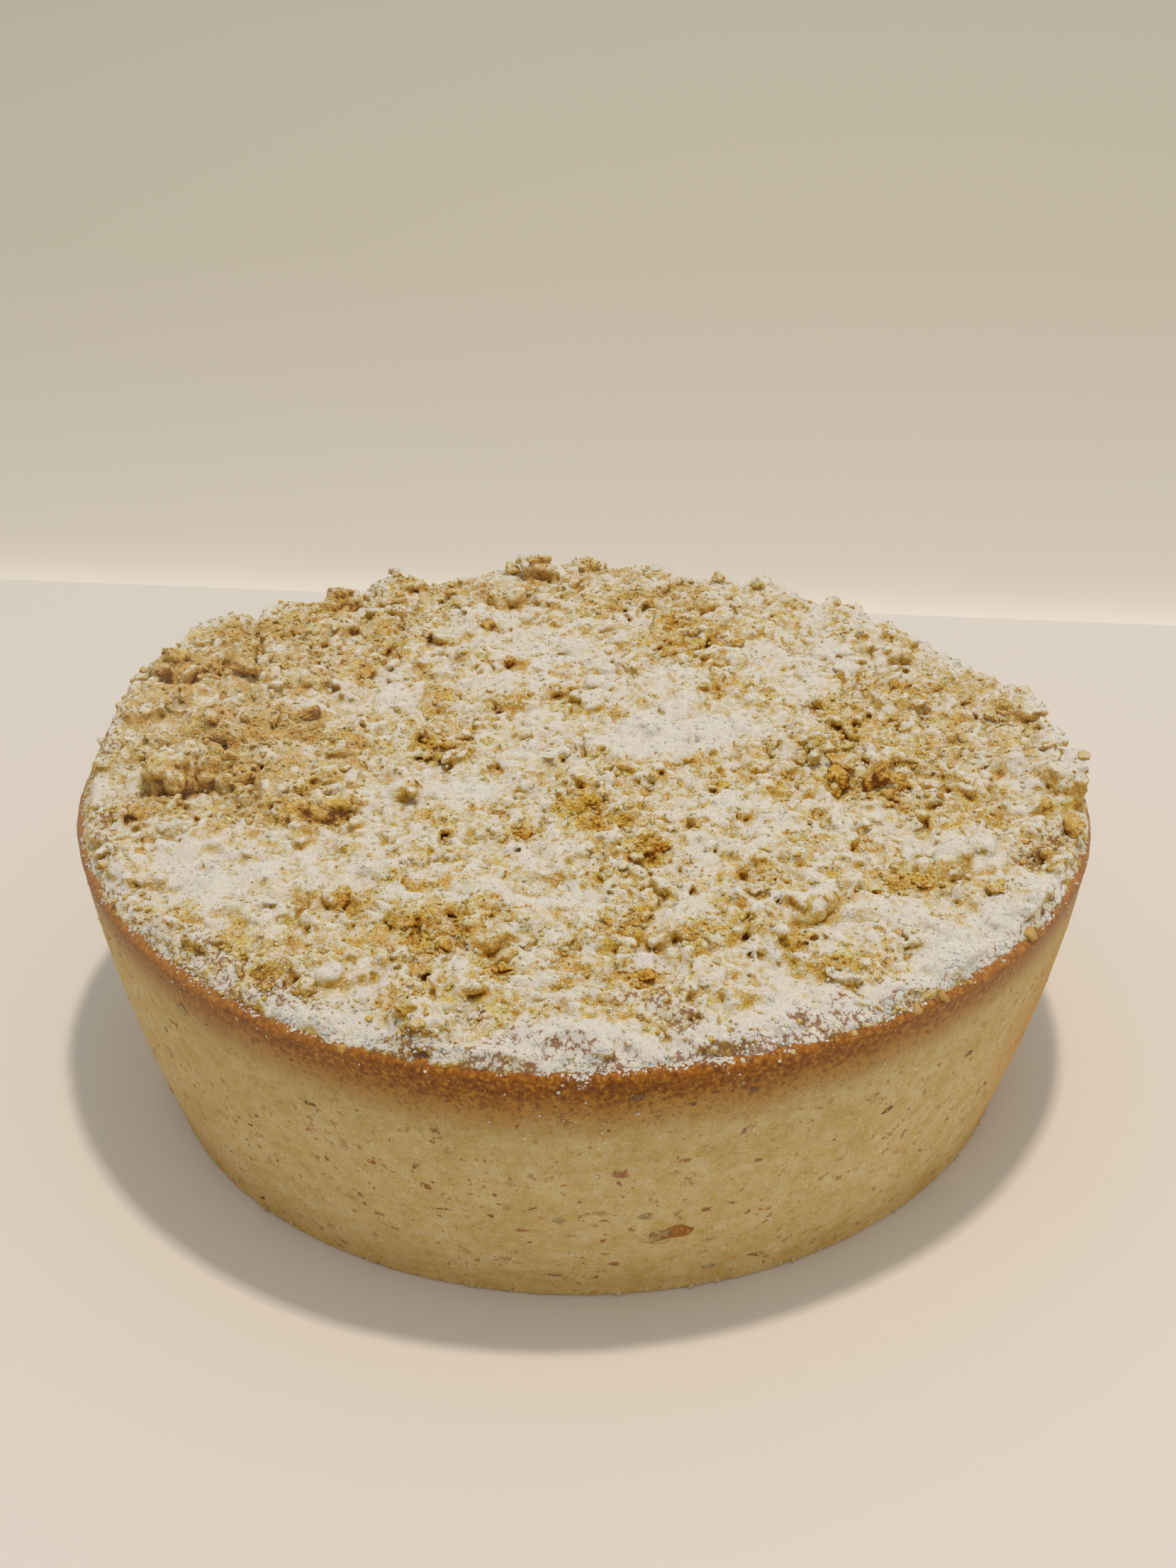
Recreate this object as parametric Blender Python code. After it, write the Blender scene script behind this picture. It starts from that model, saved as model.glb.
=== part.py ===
"""Crumble tart: a deep, tapered shortcrust case with a heap of crumble on top.

The case is a solid of revolution made slightly uneven by low waves, with a
convex outer wall, a soft bottom edge and a narrow flat rim.  The crumble is one
heap.  It sits in a shallow recess inside the rim, laps over the rim and ends in
an uneven outline just inside the case's outer edge.  Its surface is a smooth
level, highest at the back left and lowest at the front, covered with close
rounded clumps.  Metres, +Z up, origin on the ground at the centre of the base,
-Y is the front.
"""

import bpy
import bmesh
import math
import numpy as np

MM = 0.001

# Case
RIM_RADIUS = 86.0 * MM          # outer radius at the rim
BASE_RADIUS = 74.8 * MM         # outer radius at the ground
CASE_HEIGHT = 50.0 * MM         # ground to rim
WALL_BULGE = 1.4 * MM           # how far the wall stands out of a straight cone at half height
RIM_TILT = 0.5 * MM             # the rim is this much higher at -X and lower at +X
BOTTOM_EDGE = 1.2 * MM          # radius of the soft edge at the ground
RIM_EDGE = 1.5 * MM             # radius of the soft edge at the rim
RIM_WAVE_COS = 0.0026           # fourfold unevenness of the rim's outline
RIM_WAVE_SIN = -0.0040
RIM_WIDTH = 6.5 * MM            # top of the rim, from its outer edge to the recess
RECESS_DEPTH = 6.0 * MM         # how deep the crumble reaches below the rim
CASE_SEGMENTS = 112
WALL_RINGS = 7

# Crumble
GAP = 0.3 * MM                  # kept between the crumble and the case
EDGE_INSET = 1.9 * MM           # mean distance from the case's outer edge to the crumble's outline
FRONT_INSET = 1.5 * MM          # added to it at the front
EDGE_WANDER = 0.9 * MM          # how far the outline wanders to either side of that
EDGE_THICKNESS = 0.8 * MM       # thinnest crumble on the rim
SHOULDER = 5.0 * MM             # width over which the heap rounds down to its outline
HEAP_SHOULDER = 2.8 * MM        # the same at the higher heap, whose side is steeper
CENTRE_RISE = 4.2 * MM          # the heap's mean level above the rim at its centre
EDGE_RISE = 1.5 * MM            # mean level above the rim near the outline
BACK_RISE = 1.3 * MM            # added at the back and taken away at the front
HEAP_RISE = 5.8 * MM            # the higher heap at the back left
HEAP_ANGLE = 161.0              # its direction, degrees from +X
HEAP_SPREAD = 22.0              # half its width, degrees
BANK_RISE = 1.8 * MM            # a low bank at the right
BANK_ANGLE = 2.0
BANK_SPREAD = 15.0
CLUMP_SPACING = 8.2 * MM        # mean distance between clumps
CLUMP_RADIUS = (3.6 * MM, 6.4 * MM)
CLUMP_HEIGHT = (1.0 * MM, 3.3 * MM)
CLUMP_SEED = 41
TOP_RINGS = 26                  # rings of the crumble's upper surface

# Clumps that stand out: centre x, y, half length, half width, height (mm), direction (degrees)
MAIN_CLUMPS = (
    (-66.5, -8.0, 8.0, 5.6, 6.0, 15.0),
    (-45.5, -20.0, 9.0, 4.2, 3.2, 12.0),
    (-22.5, -77.0, 4.8, 4.4, 3.0, 0.0),
    (50.0, -11.0, 6.0, 5.0, 4.4, 20.0),
    (40.5, 3.5, 6.4, 3.0, 3.6, 118.0),
    (-70.0, 42.0, 8.0, 6.0, 3.6, 130.0),
    (-57.0, 58.0, 7.0, 5.0, 3.0, 150.0),
    (81.5, -12.0, 4.4, 3.6, 5.0, 80.0),
    (-36.0, 73.0, 6.5, 4.5, 4.6, 160.0),
    (60.0, -28.0, 7.5, 4.6, 3.4, 165.0),
    (20.0, 46.0, 8.5, 5.0, 3.0, 10.0),
    (-9.0, 78.0, 3.6, 3.2, 3.6, 0.0),
    (30.0, -48.0, 7.0, 5.0, 2.8, 160.0),
    (-70.0, 25.0, 7.0, 5.0, 3.8, 100.0),
)


def rim_radius(angle):
    """Outer radius of the case at its rim."""
    return RIM_RADIUS * (1 + RIM_WAVE_COS * np.cos(4 * angle) + RIM_WAVE_SIN * np.sin(4 * angle))


def rim_height(angle, radius):
    """Height of the rim's plane, which is tilted a little."""
    return CASE_HEIGHT - RIM_TILT * (radius / RIM_RADIUS) * np.cos(angle)


def wall_radius(angle, t):
    """Outer radius of the wall at the part t of its height."""
    wave = rim_radius(angle) / RIM_RADIUS - 1
    straight = BASE_RADIUS + (RIM_RADIUS - BASE_RADIUS) * t
    return (straight + WALL_BULGE * 4 * t * (1 - t)) * (1 + wave * t)


def swell(angle, middle, spread):
    """1 in the direction middle, falling to 0 on both sides of it."""
    turn = (np.degrees(angle) - middle + 180) % 360 - 180
    return np.exp(-(turn / spread) ** 2)


def outline_radius(angle):
    """Radius of the crumble's uneven outline on the rim."""
    wander = (0.45 * np.sin(3 * angle + 0.7) + 0.35 * np.sin(7 * angle + 2.1)
              + 0.3 * np.sin(13 * angle + 4.0) + 0.25 * np.sin(22 * angle + 1.3))
    inset = EDGE_INSET + FRONT_INSET * swell(angle, 270.0, 55.0) - EDGE_WANDER * wander
    return rim_radius(angle) - np.maximum(inset, 0.9 * MM)


def heap_level(x, y):
    """Mean height of the crumble above the rim's plane."""
    angle = np.arctan2(y, x)
    rho = np.hypot(x, y) / RIM_RADIUS
    edge = (EDGE_RISE + BACK_RISE * np.sin(angle) + HEAP_RISE * swell(angle, HEAP_ANGLE, HEAP_SPREAD)
            + BANK_RISE * swell(angle, BANK_ANGLE, BANK_SPREAD))
    blend = np.clip(rho, 0, 1) ** 2.2
    return CENTRE_RISE * (1 - blend) + edge * blend


def clumps():
    """Centre x, y, half length, half width, height and direction of every clump."""
    rng = np.random.RandomState(CLUMP_SEED)
    found = [(x * MM, y * MM, a * MM, b * MM, h * MM, math.radians(d)) for x, y, a, b, h, d in MAIN_CLUMPS]
    rows = int(2 * RIM_RADIUS / (CLUMP_SPACING * 0.87)) + 1
    for row in range(rows + 1):
        for col in range(rows + 1):
            x = -RIM_RADIUS + (col + 0.5 * (row % 2)) * CLUMP_SPACING + rng.uniform(-0.34, 0.34) * CLUMP_SPACING
            y = -RIM_RADIUS + row * CLUMP_SPACING * 0.87 + rng.uniform(-0.34, 0.34) * CLUMP_SPACING
            a = rng.uniform(*CLUMP_RADIUS)
            b = a * rng.uniform(0.62, 1.0)
            h = CLUMP_HEIGHT[0] + (CLUMP_HEIGHT[1] - CLUMP_HEIGHT[0]) * rng.uniform(0, 1) ** 1.6
            d = rng.uniform(0, math.pi)
            if math.hypot(x, y) > RIM_RADIUS - 1.5 * MM - 0.5 * b:
                continue
            if any(math.hypot(x - m[0], y - m[1]) < 0.8 * (m[2] + 0.3 * a) for m in found[:len(MAIN_CLUMPS)]):
                continue
            found.append((x, y, a, b, h, d))
    return found


def heap_surface(x, y, all_clumps):
    """Height of the crumble's upper surface above the ground."""
    lift = np.zeros_like(x)
    for cx, cy, a, b, h, d in all_clumps:
        u = ((x - cx) * math.cos(d) + (y - cy) * math.sin(d)) / a
        v = (-(x - cx) * math.sin(d) + (y - cy) * math.cos(d)) / b
        lift = np.maximum(lift, h * np.sqrt(np.clip(1 - u * u - v * v, 0, 1)))
    angle = np.arctan2(y, x)
    radius = np.hypot(x, y)
    width = SHOULDER + (HEAP_SHOULDER - SHOULDER) * swell(angle, HEAP_ANGLE, 1.3 * HEAP_SPREAD)
    inside = np.clip((outline_radius(angle) - radius) / width, 0, 1)
    shoulder = np.sqrt(np.clip(1 - (1 - inside) ** 2, 0, 1))
    rise = EDGE_THICKNESS + (heap_level(x, y) + lift) * shoulder
    return rim_height(angle, radius) + GAP + np.maximum(rise, EDGE_THICKNESS)


def material(name, colour, roughness):
    mat = bpy.data.materials.new(name)
    mat.use_nodes = True
    shader = mat.node_tree.nodes["Principled BSDF"]
    shader.inputs["Base Color"].default_value = (*colour, 1.0)
    shader.inputs["Roughness"].default_value = roughness
    shader.inputs["Metallic"].default_value = 0.0
    return mat


def add_ring(bm, radii, heights, angles):
    return [bm.verts.new((r * math.cos(a), r * math.sin(a), z)) for r, z, a in zip(radii, heights, angles)]


def bridge(bm, lower, upper):
    """Faces between two rings of the same number of points, seen from outside with lower first."""
    n = len(lower)
    for i in range(n):
        j = (i + 1) % n
        bm.faces.new((lower[i], lower[j], upper[j], upper[i]))


def cap(bm, ring, height, up):
    """Closes a ring with a fan to its centre."""
    centre = bm.verts.new((0.0, 0.0, height))
    n = len(ring)
    for i in range(n):
        j = (i + 1) % n
        bm.faces.new((ring[i], ring[j], centre) if up else (ring[j], ring[i], centre))


def finish(bm, name, mat):
    mesh = bpy.data.meshes.new(name)
    bmesh.ops.triangulate(bm, faces=bm.faces[:])
    bmesh.ops.recalc_face_normals(bm, faces=bm.faces[:])
    bm.to_mesh(mesh)
    bm.free()
    obj = bpy.data.objects.new(name, mesh)
    bpy.context.scene.collection.objects.link(obj)
    mesh.materials.append(mat)
    mesh.shade_smooth()
    mesh.set_sharp_from_angle(angle=math.radians(40))
    return obj


def make_case():
    bm = bmesh.new()
    angles = np.linspace(0, 2 * math.pi, CASE_SEGMENTS, endpoint=False)
    top = rim_height(angles, RIM_RADIUS)
    rings = []
    # Ground face, then the soft bottom edge
    for k in range(3):
        turn = k / 2 * math.pi / 2
        radii = wall_radius(angles, BOTTOM_EDGE / CASE_HEIGHT) - BOTTOM_EDGE * (1 - math.sin(turn))
        rings.append(add_ring(bm, radii, [BOTTOM_EDGE * (1 - math.cos(turn))] * len(angles), angles))
    # Wall
    for k in range(1, WALL_RINGS + 1):
        low = BOTTOM_EDGE / CASE_HEIGHT
        t = low + (1 - RIM_EDGE / CASE_HEIGHT - low) * k / WALL_RINGS
        rings.append(add_ring(bm, wall_radius(angles, t), top * t, angles))
    # Soft outer edge of the rim, then its flat top and the recess
    for k in range(1, 4):
        turn = k / 3 * math.pi / 2
        radii = wall_radius(angles, 1.0) - RIM_EDGE * (1 - math.cos(turn))
        rings.append(add_ring(bm, radii, top - RIM_EDGE * (1 - math.sin(turn)), angles))
    inner = rim_radius(angles) - RIM_WIDTH
    rings.append(add_ring(bm, inner, rim_height(angles, inner), angles))
    floor = CASE_HEIGHT - RECESS_DEPTH
    rings.append(add_ring(bm, inner - 0.8 * MM, [floor] * len(angles), angles))
    for lower, upper in zip(rings, rings[1:]):
        bridge(bm, lower, upper)
    cap(bm, rings[0], 0.0, up=False)
    cap(bm, rings[-1], floor, up=True)
    return finish(bm, "pastry_case", material("pastry", (0.50, 0.36, 0.17), 0.8))


def make_crumble():
    bm = bmesh.new()
    all_clumps = clumps()
    # Upper surface: rings with six more points each, so that its triangles are about equal
    rings = []
    for k in range(TOP_RINGS + 1):
        n = max(6 * k, 1)
        angles = np.linspace(0, 2 * math.pi, n, endpoint=False) if k else np.zeros(1)
        radii = outline_radius(angles) * k / TOP_RINGS
        heights = heap_surface(radii * np.cos(angles), radii * np.sin(angles), all_clumps)
        rings.append(add_ring(bm, radii, heights, angles))
    for k in range(1, TOP_RINGS + 1):
        small, large = rings[k - 1], rings[k]
        for side in range(6):
            for i in range(k):
                a = large[(side * k + i) % len(large)]
                b = large[(side * k + i + 1) % len(large)]
                c = small[(side * (k - 1) + i) % len(small)]
                bm.faces.new((a, b, c))
                if i < k - 1:
                    d = small[(side * (k - 1) + i + 1) % len(small)]
                    bm.faces.new((c, b, d))
    # Edge, underside on the rim, and the plug that fills the recess
    outer = rings[-1]
    n = len(outer)
    angles = np.linspace(0, 2 * math.pi, n, endpoint=False)
    lap = outline_radius(angles) - 0.2 * MM
    inner = rim_radius(angles) - RIM_WIDTH - GAP - 0.1 * MM
    floor = CASE_HEIGHT - RECESS_DEPTH + GAP
    under = add_ring(bm, lap, rim_height(angles, lap) + GAP, angles)
    neck = add_ring(bm, inner, rim_height(angles, inner) + GAP, angles)
    foot = add_ring(bm, inner - 0.8 * MM, [floor] * n, angles)
    bridge(bm, under, outer)
    bridge(bm, neck, under)
    bridge(bm, foot, neck)
    cap(bm, foot, floor, up=False)
    return finish(bm, "crumble_topping", material("crumble", (0.72, 0.58, 0.36), 0.85))


for old in list(bpy.data.objects):
    bpy.data.objects.remove(old, do_unlink=True)
make_case()
make_crumble()
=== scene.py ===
"""Looks of the crumble tart: crust, crumble, loose crumbs and icing sugar.

The crumble's heap is one closed surface drawn round a field of clumps, so that
clumps overhang and leave gaps.  The case is a turned surface with an uneven rim
and a ragged foot.  Lengths inside the mesh code are in millimetres.
"""

import math
import time

import bmesh
import bpy
import numpy as np
from mathutils import Matrix


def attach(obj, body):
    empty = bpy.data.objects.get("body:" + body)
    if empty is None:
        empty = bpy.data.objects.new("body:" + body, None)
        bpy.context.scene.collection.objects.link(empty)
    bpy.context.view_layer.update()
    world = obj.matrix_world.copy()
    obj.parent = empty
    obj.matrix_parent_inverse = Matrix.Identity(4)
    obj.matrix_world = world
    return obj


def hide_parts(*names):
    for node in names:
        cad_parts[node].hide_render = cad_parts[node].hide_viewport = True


T0 = time.time()
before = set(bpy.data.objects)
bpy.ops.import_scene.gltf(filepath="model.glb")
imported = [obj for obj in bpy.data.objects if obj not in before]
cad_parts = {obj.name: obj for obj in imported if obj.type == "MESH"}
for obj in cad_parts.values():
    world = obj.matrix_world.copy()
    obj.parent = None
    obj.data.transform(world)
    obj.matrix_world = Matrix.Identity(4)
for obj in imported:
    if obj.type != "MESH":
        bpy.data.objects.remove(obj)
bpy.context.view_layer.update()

# ---------------------------------------------------------------- sizes (mm)
RIM_RADIUS = 86.0
BASE_RADIUS = 74.8
CASE_HEIGHT = 50.0
WALL_BULGE = 1.4
RIM_TILT = 0.5
BOTTOM_EDGE = 1.2
RIM_EDGE = 1.5
RIM_WAVE_COS = 0.0026
RIM_WAVE_SIN = -0.0040
RIM_WIDTH = 6.5
RECESS_DEPTH = 6.0

EDGE_INSET = 0.85
FRONT_INSET = 0.35
EDGE_WANDER = 0.8
EDGE_THICKNESS = 0.8
SHOULDER = 5.0
HEAP_SHOULDER = 2.8
CENTRE_RISE = 4.2
EDGE_RISE = 1.5
BACK_RISE = 1.3
HEAP_RISE = 5.8
HEAP_ANGLE = 161.0
HEAP_SPREAD = 22.0
BANK_RISE = 1.8
BANK_ANGLE = 2.0
BANK_SPREAD = 15.0
DIP = 1.9
DIP_ANGLE = 40.0
DIP_SPREAD = 26.0
TOP_LIMIT = 62.4
CLUMP_SPACING = 8.2
CLUMP_RADIUS = (3.6, 6.4)
CLUMP_HEIGHT = (1.0, 3.3)
CLUMP_SEED = 41
GAP = 0.3

# Clumps that stand out: centre x, y, half length, half width, height, direction (degrees), sugar 0..1, shade change
MAIN_CLUMPS = (
    (-66.5, -8.0, 7.6, 5.6, 4.4, 15.0, 0.60, -0.05),
    (-45.5, -20.0, 8.0, 3.6, 2.8, 12.0, 0.25, 0.10),
    (-23.0, -75.6, 5.2, 4.6, 3.2, 0.0, 0.85, -0.10),
    (50.0, -13.0, 4.0, 3.2, 2.6, 20.0, 0.0, 0.20),
    (40.5, 3.5, 6.4, 3.0, 3.2, 118.0, 0.55, -0.08),
    (-70.0, 42.0, 8.0, 6.0, 2.8, 130.0, 0.35, 0.12),
    (-57.0, 58.0, 7.0, 5.0, 2.2, 150.0, 0.35, 0.08),
    (81.5, -12.0, 4.4, 3.6, 5.0, 80.0, 0.5, 0.08),
    (-37.0, 71.5, 6.5, 4.5, 3.0, 160.0, 0.4, 0.08),
    (60.0, -28.0, 7.5, 4.6, 3.4, 165.0, 0.6, 0.08),
    (20.0, 46.0, 8.5, 5.0, 3.0, 10.0, 0.3, 0.18),
    (-8.0, 77.5, 3.4, 3.0, 2.8, 0.0, 0.3, 0.10),
    (30.0, -48.0, 7.0, 5.0, 2.8, 160.0, 0.6, 0.05),
    (-71.0, 26.0, 7.0, 5.0, 3.0, 100.0, 0.3, 0.10),
    (-47.0, 64.0, 5.0, 4.0, 2.8, 20.0, 0.4, 0.06), (15.5, 73.0, 4.2, 3.4, 2.2, 0.0, 0.4, 0.06),
    (41.0, 68.0, 4.4, 3.6, 2.0, 150.0, 0.4, 0.06), (60.0, 50.0, 4.6, 3.4, 1.8, 130.0, 0.4, 0.06),
    (71.0, 26.0, 4.4, 3.4, 1.8, 110.0, 0.4, 0.08), (-78.0, 12.0, 4.6, 3.4, 2.6, 100.0, 0.4, 0.06),
)

# Where crumb shows or sugar lies: x, y, half length, half width, direction, sugar change, shade change
MARKS = (
    # bare golden crumb
    (-24.5, -56.0, 10.0, 6.4, 10.0, -0.56, -0.04), (-34.0, -46.0, 5.0, 3.0, 20.0, -0.50, 0.16), (-14.0, -50.0, 4.0, 2.4, 20.0, -0.30, 0.04),
    (-25.0, -78.4, 3.0, 2.0, 0.0, -0.26, -0.02), (-21.5, -73.6, 4.0, 2.6, 0.0, 0.10, 0.0), (-1.0, -22.0, 3.6, 6.5, 15.0, -0.60, 0.16),
    (4.0, -27.0, 3.2, 2.0, 0.0, -0.50, 0.20), (12.0, -34.5, 3.4, 4.2, 20.0, -0.75, 0.30), (3.5, -41.6, 4.6, 1.6, 10.0, -0.50, 0.24),
    (-10.5, -28.0, 3.6, 3.0, 0.0, -0.62, 0.24), (51.0, -42.0, 7.0, 4.4, 12.0, -0.70, 0.34),
    (38.0, -62.0, 3.6, 3.0, 0.0, -0.55, 0.24), (49.5, -13.5, 4.2, 3.0, 0.0, -0.75, 0.10), (49.5, -18.5, 4.4, 2.0, 0.0, -0.50, 0.46),
    (41.9, -13.5, 3.0, 2.0, 0.0, -0.60, 0.02), (38.6, -2.5, 2.2, 4.2, 15.0, -0.05, -0.02), (45.0, 5.0, 4.0, 5.0, 20.0, -0.35, 0.08),
    (20.0, 44.0, 8.0, 9.0, 0.0, -0.42, 0.16), (27.0, 38.0, 2.2, 4.0, 0.0, -0.40, 0.22),
    (57.0, 20.0, 6.0, 3.0, 0.0, -0.55, 0.30), (-70.0, 25.0, 8.0, 4.0, 5.0, -0.50, 0.22),
    (-40.0, 27.0, 2.6, 4.6, 0.0, -0.55, 0.36), (-48.0, 9.0, 4.0, 1.8, 0.0, -0.62, 0.34),
    (-42.0, 3.0, 4.0, 2.4, 0.0, -0.45, 0.18), (-18.0, 50.0, 3.0, 2.6, 0.0, -0.60, 0.52),
    (-25.0, 0.0, 5.5, 3.2, -15.0, -0.62, 0.34), (-57.0, -8.0, 6.0, 4.0, 20.0, -0.30, 0.16),
    (-66.0, -14.0, 7.0, 3.0, 0.0, -0.16, 0.16), (-45.0, -22.0, 6.0, 2.8, 12.0, -0.62, 0.14),
    (-60.0, 4.0, 8.0, 7.0, 0.0, -0.25, 0.12), (-30.0, 72.0, 10.0, 6.0, 0.0, -0.30, 0.12),
    (-8.0, 74.0, 3.2, 6.0, 0.0, -0.45, 0.26), (5.0, 80.0, 8.0, 2.6, 0.0, -0.45, 0.30),
    (-50.0, 62.0, 6.0, 5.0, -30.0, -0.35, 0.18), (-62.0, 44.0, 5.0, 8.0, -30.0, -0.40, 0.20),
    (-12.0, 32.0, 3.0, 2.4, 0.0, -0.45, 0.34), (5.0, 13.0, 3.4, 4.0, 0.0, -0.40, 0.04),
    (33.0, -5.0, 4.0, 4.0, 0.0, -0.20, 0.04), (22.5, -13.0, 2.4, 2.6, 0.0, -0.50, 0.24),
    (68.0, -22.0, 3.0, 2.4, 0.0, -0.50, 0.26), (63.0, -41.0, 1.8, 2.4, 0.0, -0.60, 0.16),
    (-38.0, -34.0, 3.2, 1.6, 0.0, -0.45, 0.18), (-26.0, -42.5, 6.0, 1.3, 0.0, -0.50, 0.30),
    (8.0, -66.0, 3.4, 2.0, 0.0, -0.60, 0.22), (6.0, -56.0, 4.0, 4.0, 0.0, -0.40, 0.24),
    (20.0, -55.0, 4.0, 3.0, 0.0, -0.30, 0.12), (-13.0, -65.0, 4.0, 2.6, 0.0, -0.35, 0.12),
    (33.0, -57.0, 3.0, 2.0, 0.0, -0.40, 0.22), (-12.0, 16.0, 3.6, 3.0, 0.0, -0.35, 0.14),
    (56.0, -5.0, 4.0, 3.0, 0.0, -0.30, 0.10), (-36.0, 40.0, 3.6, 3.6, 0.0, -0.35, 0.16),
    (10.0, 62.0, 6.0, 6.0, 0.0, -0.25, 0.12), (60.0, 50.0, 3.0, 4.0, 0.0, -0.35, 0.12),
    (-25.0, 20.0, 3.0, 3.0, 0.0, -0.40, 0.20), (16.0, -57.0, 3.0, 2.0, 0.0, -0.35, 0.18),
    # thin dust over dark crumb near the rim
    (-65.0, -46.0, 7.0, 4.0, -45.0, -0.30, 0.12), (-54.0, -57.0, 7.0, 2.6, -42.0, -0.30, 0.12),
    (-45.0, -66.0, 5.0, 2.2, -38.0, -0.35, 0.12), (-26.0, -80.5, 4.0, 2.0, -15.0, -0.30, 0.20),
    (75.0, -31.0, 6.5, 2.2, 35.0, -0.40, 0.20), (8.2, -68.5, 2.6, 1.8, 0.0, -0.55, 0.16),
    # less sugar over a wide area
    (-62.0, 6.0, 22.0, 30.0, 0.0, -0.32, 0.02), (-46.0, 50.0, 26.0, 20.0, -30.0, -0.20, 0.02), (58.0, 4.0, 20.0, 28.0, 0.0, -0.24, 0.0), (-70.0, 46.0, 12.0, 8.0, -50.0, -0.18, 0.0),
    (0.0, 66.0, 40.0, 12.0, 0.0, -0.12, 0.0), (-30.0, -66.0, 12.0, 6.0, -20.0, -0.14, 0.0),
    # thick sugar
    (17.0, 5.0, 13.0, 9.0, 20.0, 0.80, 0.0), (-4.0, -82.0, 16.0, 4.0, 5.0, 0.45, 0.0),
    (-57.0, -37.0, 14.0, 8.0, -35.0, 0.46, 0.0), (-20.0, -14.0, 9.0, 5.0, 0.0, 0.35, 0.0),
    (60.0, -33.5, 9.0, 3.0, 10.0, 0.40, 0.0), (66.0, -50.0, 9.0, 5.0, 45.0, 0.55, 0.0), (73.0, -40.0, 5.0, 3.0, 50.0, 0.30, 0.0),
    (34.0, -70.0, 9.0, 4.0, 15.0, 0.40, 0.0), (-10.0, -48.0, 7.0, 4.0, 0.0, 0.30, 0.0),
    (44.0, 36.0, 14.0, 10.0, 0.0, 0.30, 0.0), (-38.0, 18.0, 8.0, 6.0, 0.0, 0.25, 0.0),
    (-32.0, -66.0, 7.0, 4.0, 0.0, 0.35, 0.0), (24.0, -22.0, 9.0, 5.0, 0.0, 0.25, 0.0),
    (-5.0, 42.0, 8.0, 8.0, 0.0, 0.20, 0.0), (55.0, -60.0, 8.0, 4.0, 40.0, 0.35, 0.0),
)

# Brown crust showing through thin powder near the rim: x, y, half length, half width, direction, amount
LACE = (
    (-54.0, -60.0, 7.0, 2.4, -42.0, 0.75), (-46.6, -66.6, 5.0, 2.0, -38.0, 0.85), (-41.0, -70.0, 4.0, 1.8, -30.0, 0.70),
    (-67.0, -51.0, 5.0, 2.4, -52.0, 0.60), (-25.0, -81.0, 4.5, 1.8, -12.0, 0.95), (-16.0, -76.0, 2.4, 2.0, 0.0, 0.70),
    (10.8, -74.2, 3.0, 1.6, 20.0, 0.80), (14.5, -76.8, 3.2, 1.6, 10.0, 0.85), (3.4, -84.2, 5.0, 1.4, 0.0, 0.90),
    (-3.0, -82.0, 3.6, 1.4, 0.0, 0.75), (-11.0, -80.5, 3.0, 1.3, 0.0, 0.60), (7.0, -73.4, 1.8, 1.2, 0.0, 0.60),
    (31.0, -74.5, 4.4, 1.6, 18.0, 0.80), (38.0, -70.0, 3.0, 1.3, 25.0, 0.60), (74.0, -30.0, 6.0, 2.2, 38.0, 1.0),
    (78.0, -24.8, 3.0, 2.0, 50.0, 0.75), (66.0, -42.0, 3.0, 1.5, 40.0, 0.55), (-78.0, -22.0, 6.0, 1.8, -72.0, 0.70),
    (-82.0, 4.0, 8.0, 1.6, 92.0, 0.70),
)

# Dark gaps under clumps: x, y, half width, direction the gap opens to (degrees), depth
GAPS = (
    (60.0, -29.5, 4.2, 272.0, 2.6), (48.0, -28.0, 3.0, 280.0, 2.0), (29.5, -42.0, 3.0, 330.0, 2.2),
    (28.0, -54.5, 3.0, 250.0, 1.8), (-2.0, -4.5, 3.4, 270.0, 2.2), (-66.0, -15.0, 4.0, 270.0, 0.9),
    (-44.0, -10.5, 2.4, 270.0, 1.6), (-57.0, -10.5, 3.0, 280.0, 1.0), (-16.8, -74.6, 2.4, 250.0, 2.2),
    (3.0, -29.0, 3.0, 275.0, 1.8), (52.0, -46.0, 5.0, 275.0, 2.4), (-46.0, -25.5, 4.6, 275.0, 1.4),
    (-25.0, -3.0, 5.0, 275.0, 2.0), (13.0, -36.5, 5.0, 265.0, 2.4), (-9.0, -58.5, 3.6, 290.0, 1.6),
    (40.0, -65.0, 3.0, 270.0, 1.6), (-8.0, -32.5, 2.4, 270.0, 1.6), (17.0, -72.5, 2.4, 270.0, 1.6),
    (48.0, -19.5, 3.4, 265.0, 1.8), (72.0, -34.5, 4.0, 290.0, 1.8), (-34.0, -49.0, 2.4, 270.0, 0.9),
    (-18.0, -61.0, 2.2, 290.0, 0.8), (22.0, -15.5, 1.8, 270.0, 1.2), (57.0, 16.5, 3.6, 270.0, 1.6),
)


# ---------------------------------------------------------------- noise
TABLES = {}


def noise(x, y, z, size, seed):
    """Smooth value noise between -1 and 1 with features of the given size."""
    if seed not in TABLES:
        TABLES[seed] = np.random.RandomState(1000 + seed).uniform(-1, 1, (32, 32, 32)).astype(np.float32)
    table = TABLES[seed]
    parts = []
    for c in (x, y, z):
        g = np.asarray(c, np.float32) / size + 57.3
        i = np.floor(g).astype(np.int32)
        f = g - i
        parts.append((i & 31, (i + 1) & 31, f * f * (3 - 2 * f)))
    (x0, x1, fx), (y0, y1, fy), (z0, z1, fz) = parts
    low = (table[x0, y0, z0] * (1 - fx) + table[x1, y0, z0] * fx) * (1 - fy) + (
        table[x0, y1, z0] * (1 - fx) + table[x1, y1, z0] * fx) * fy
    high = (table[x0, y0, z1] * (1 - fx) + table[x1, y0, z1] * fx) * (1 - fy) + (
        table[x0, y1, z1] * (1 - fx) + table[x1, y1, z1] * fx) * fy
    return low * (1 - fz) + high * fz


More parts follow.
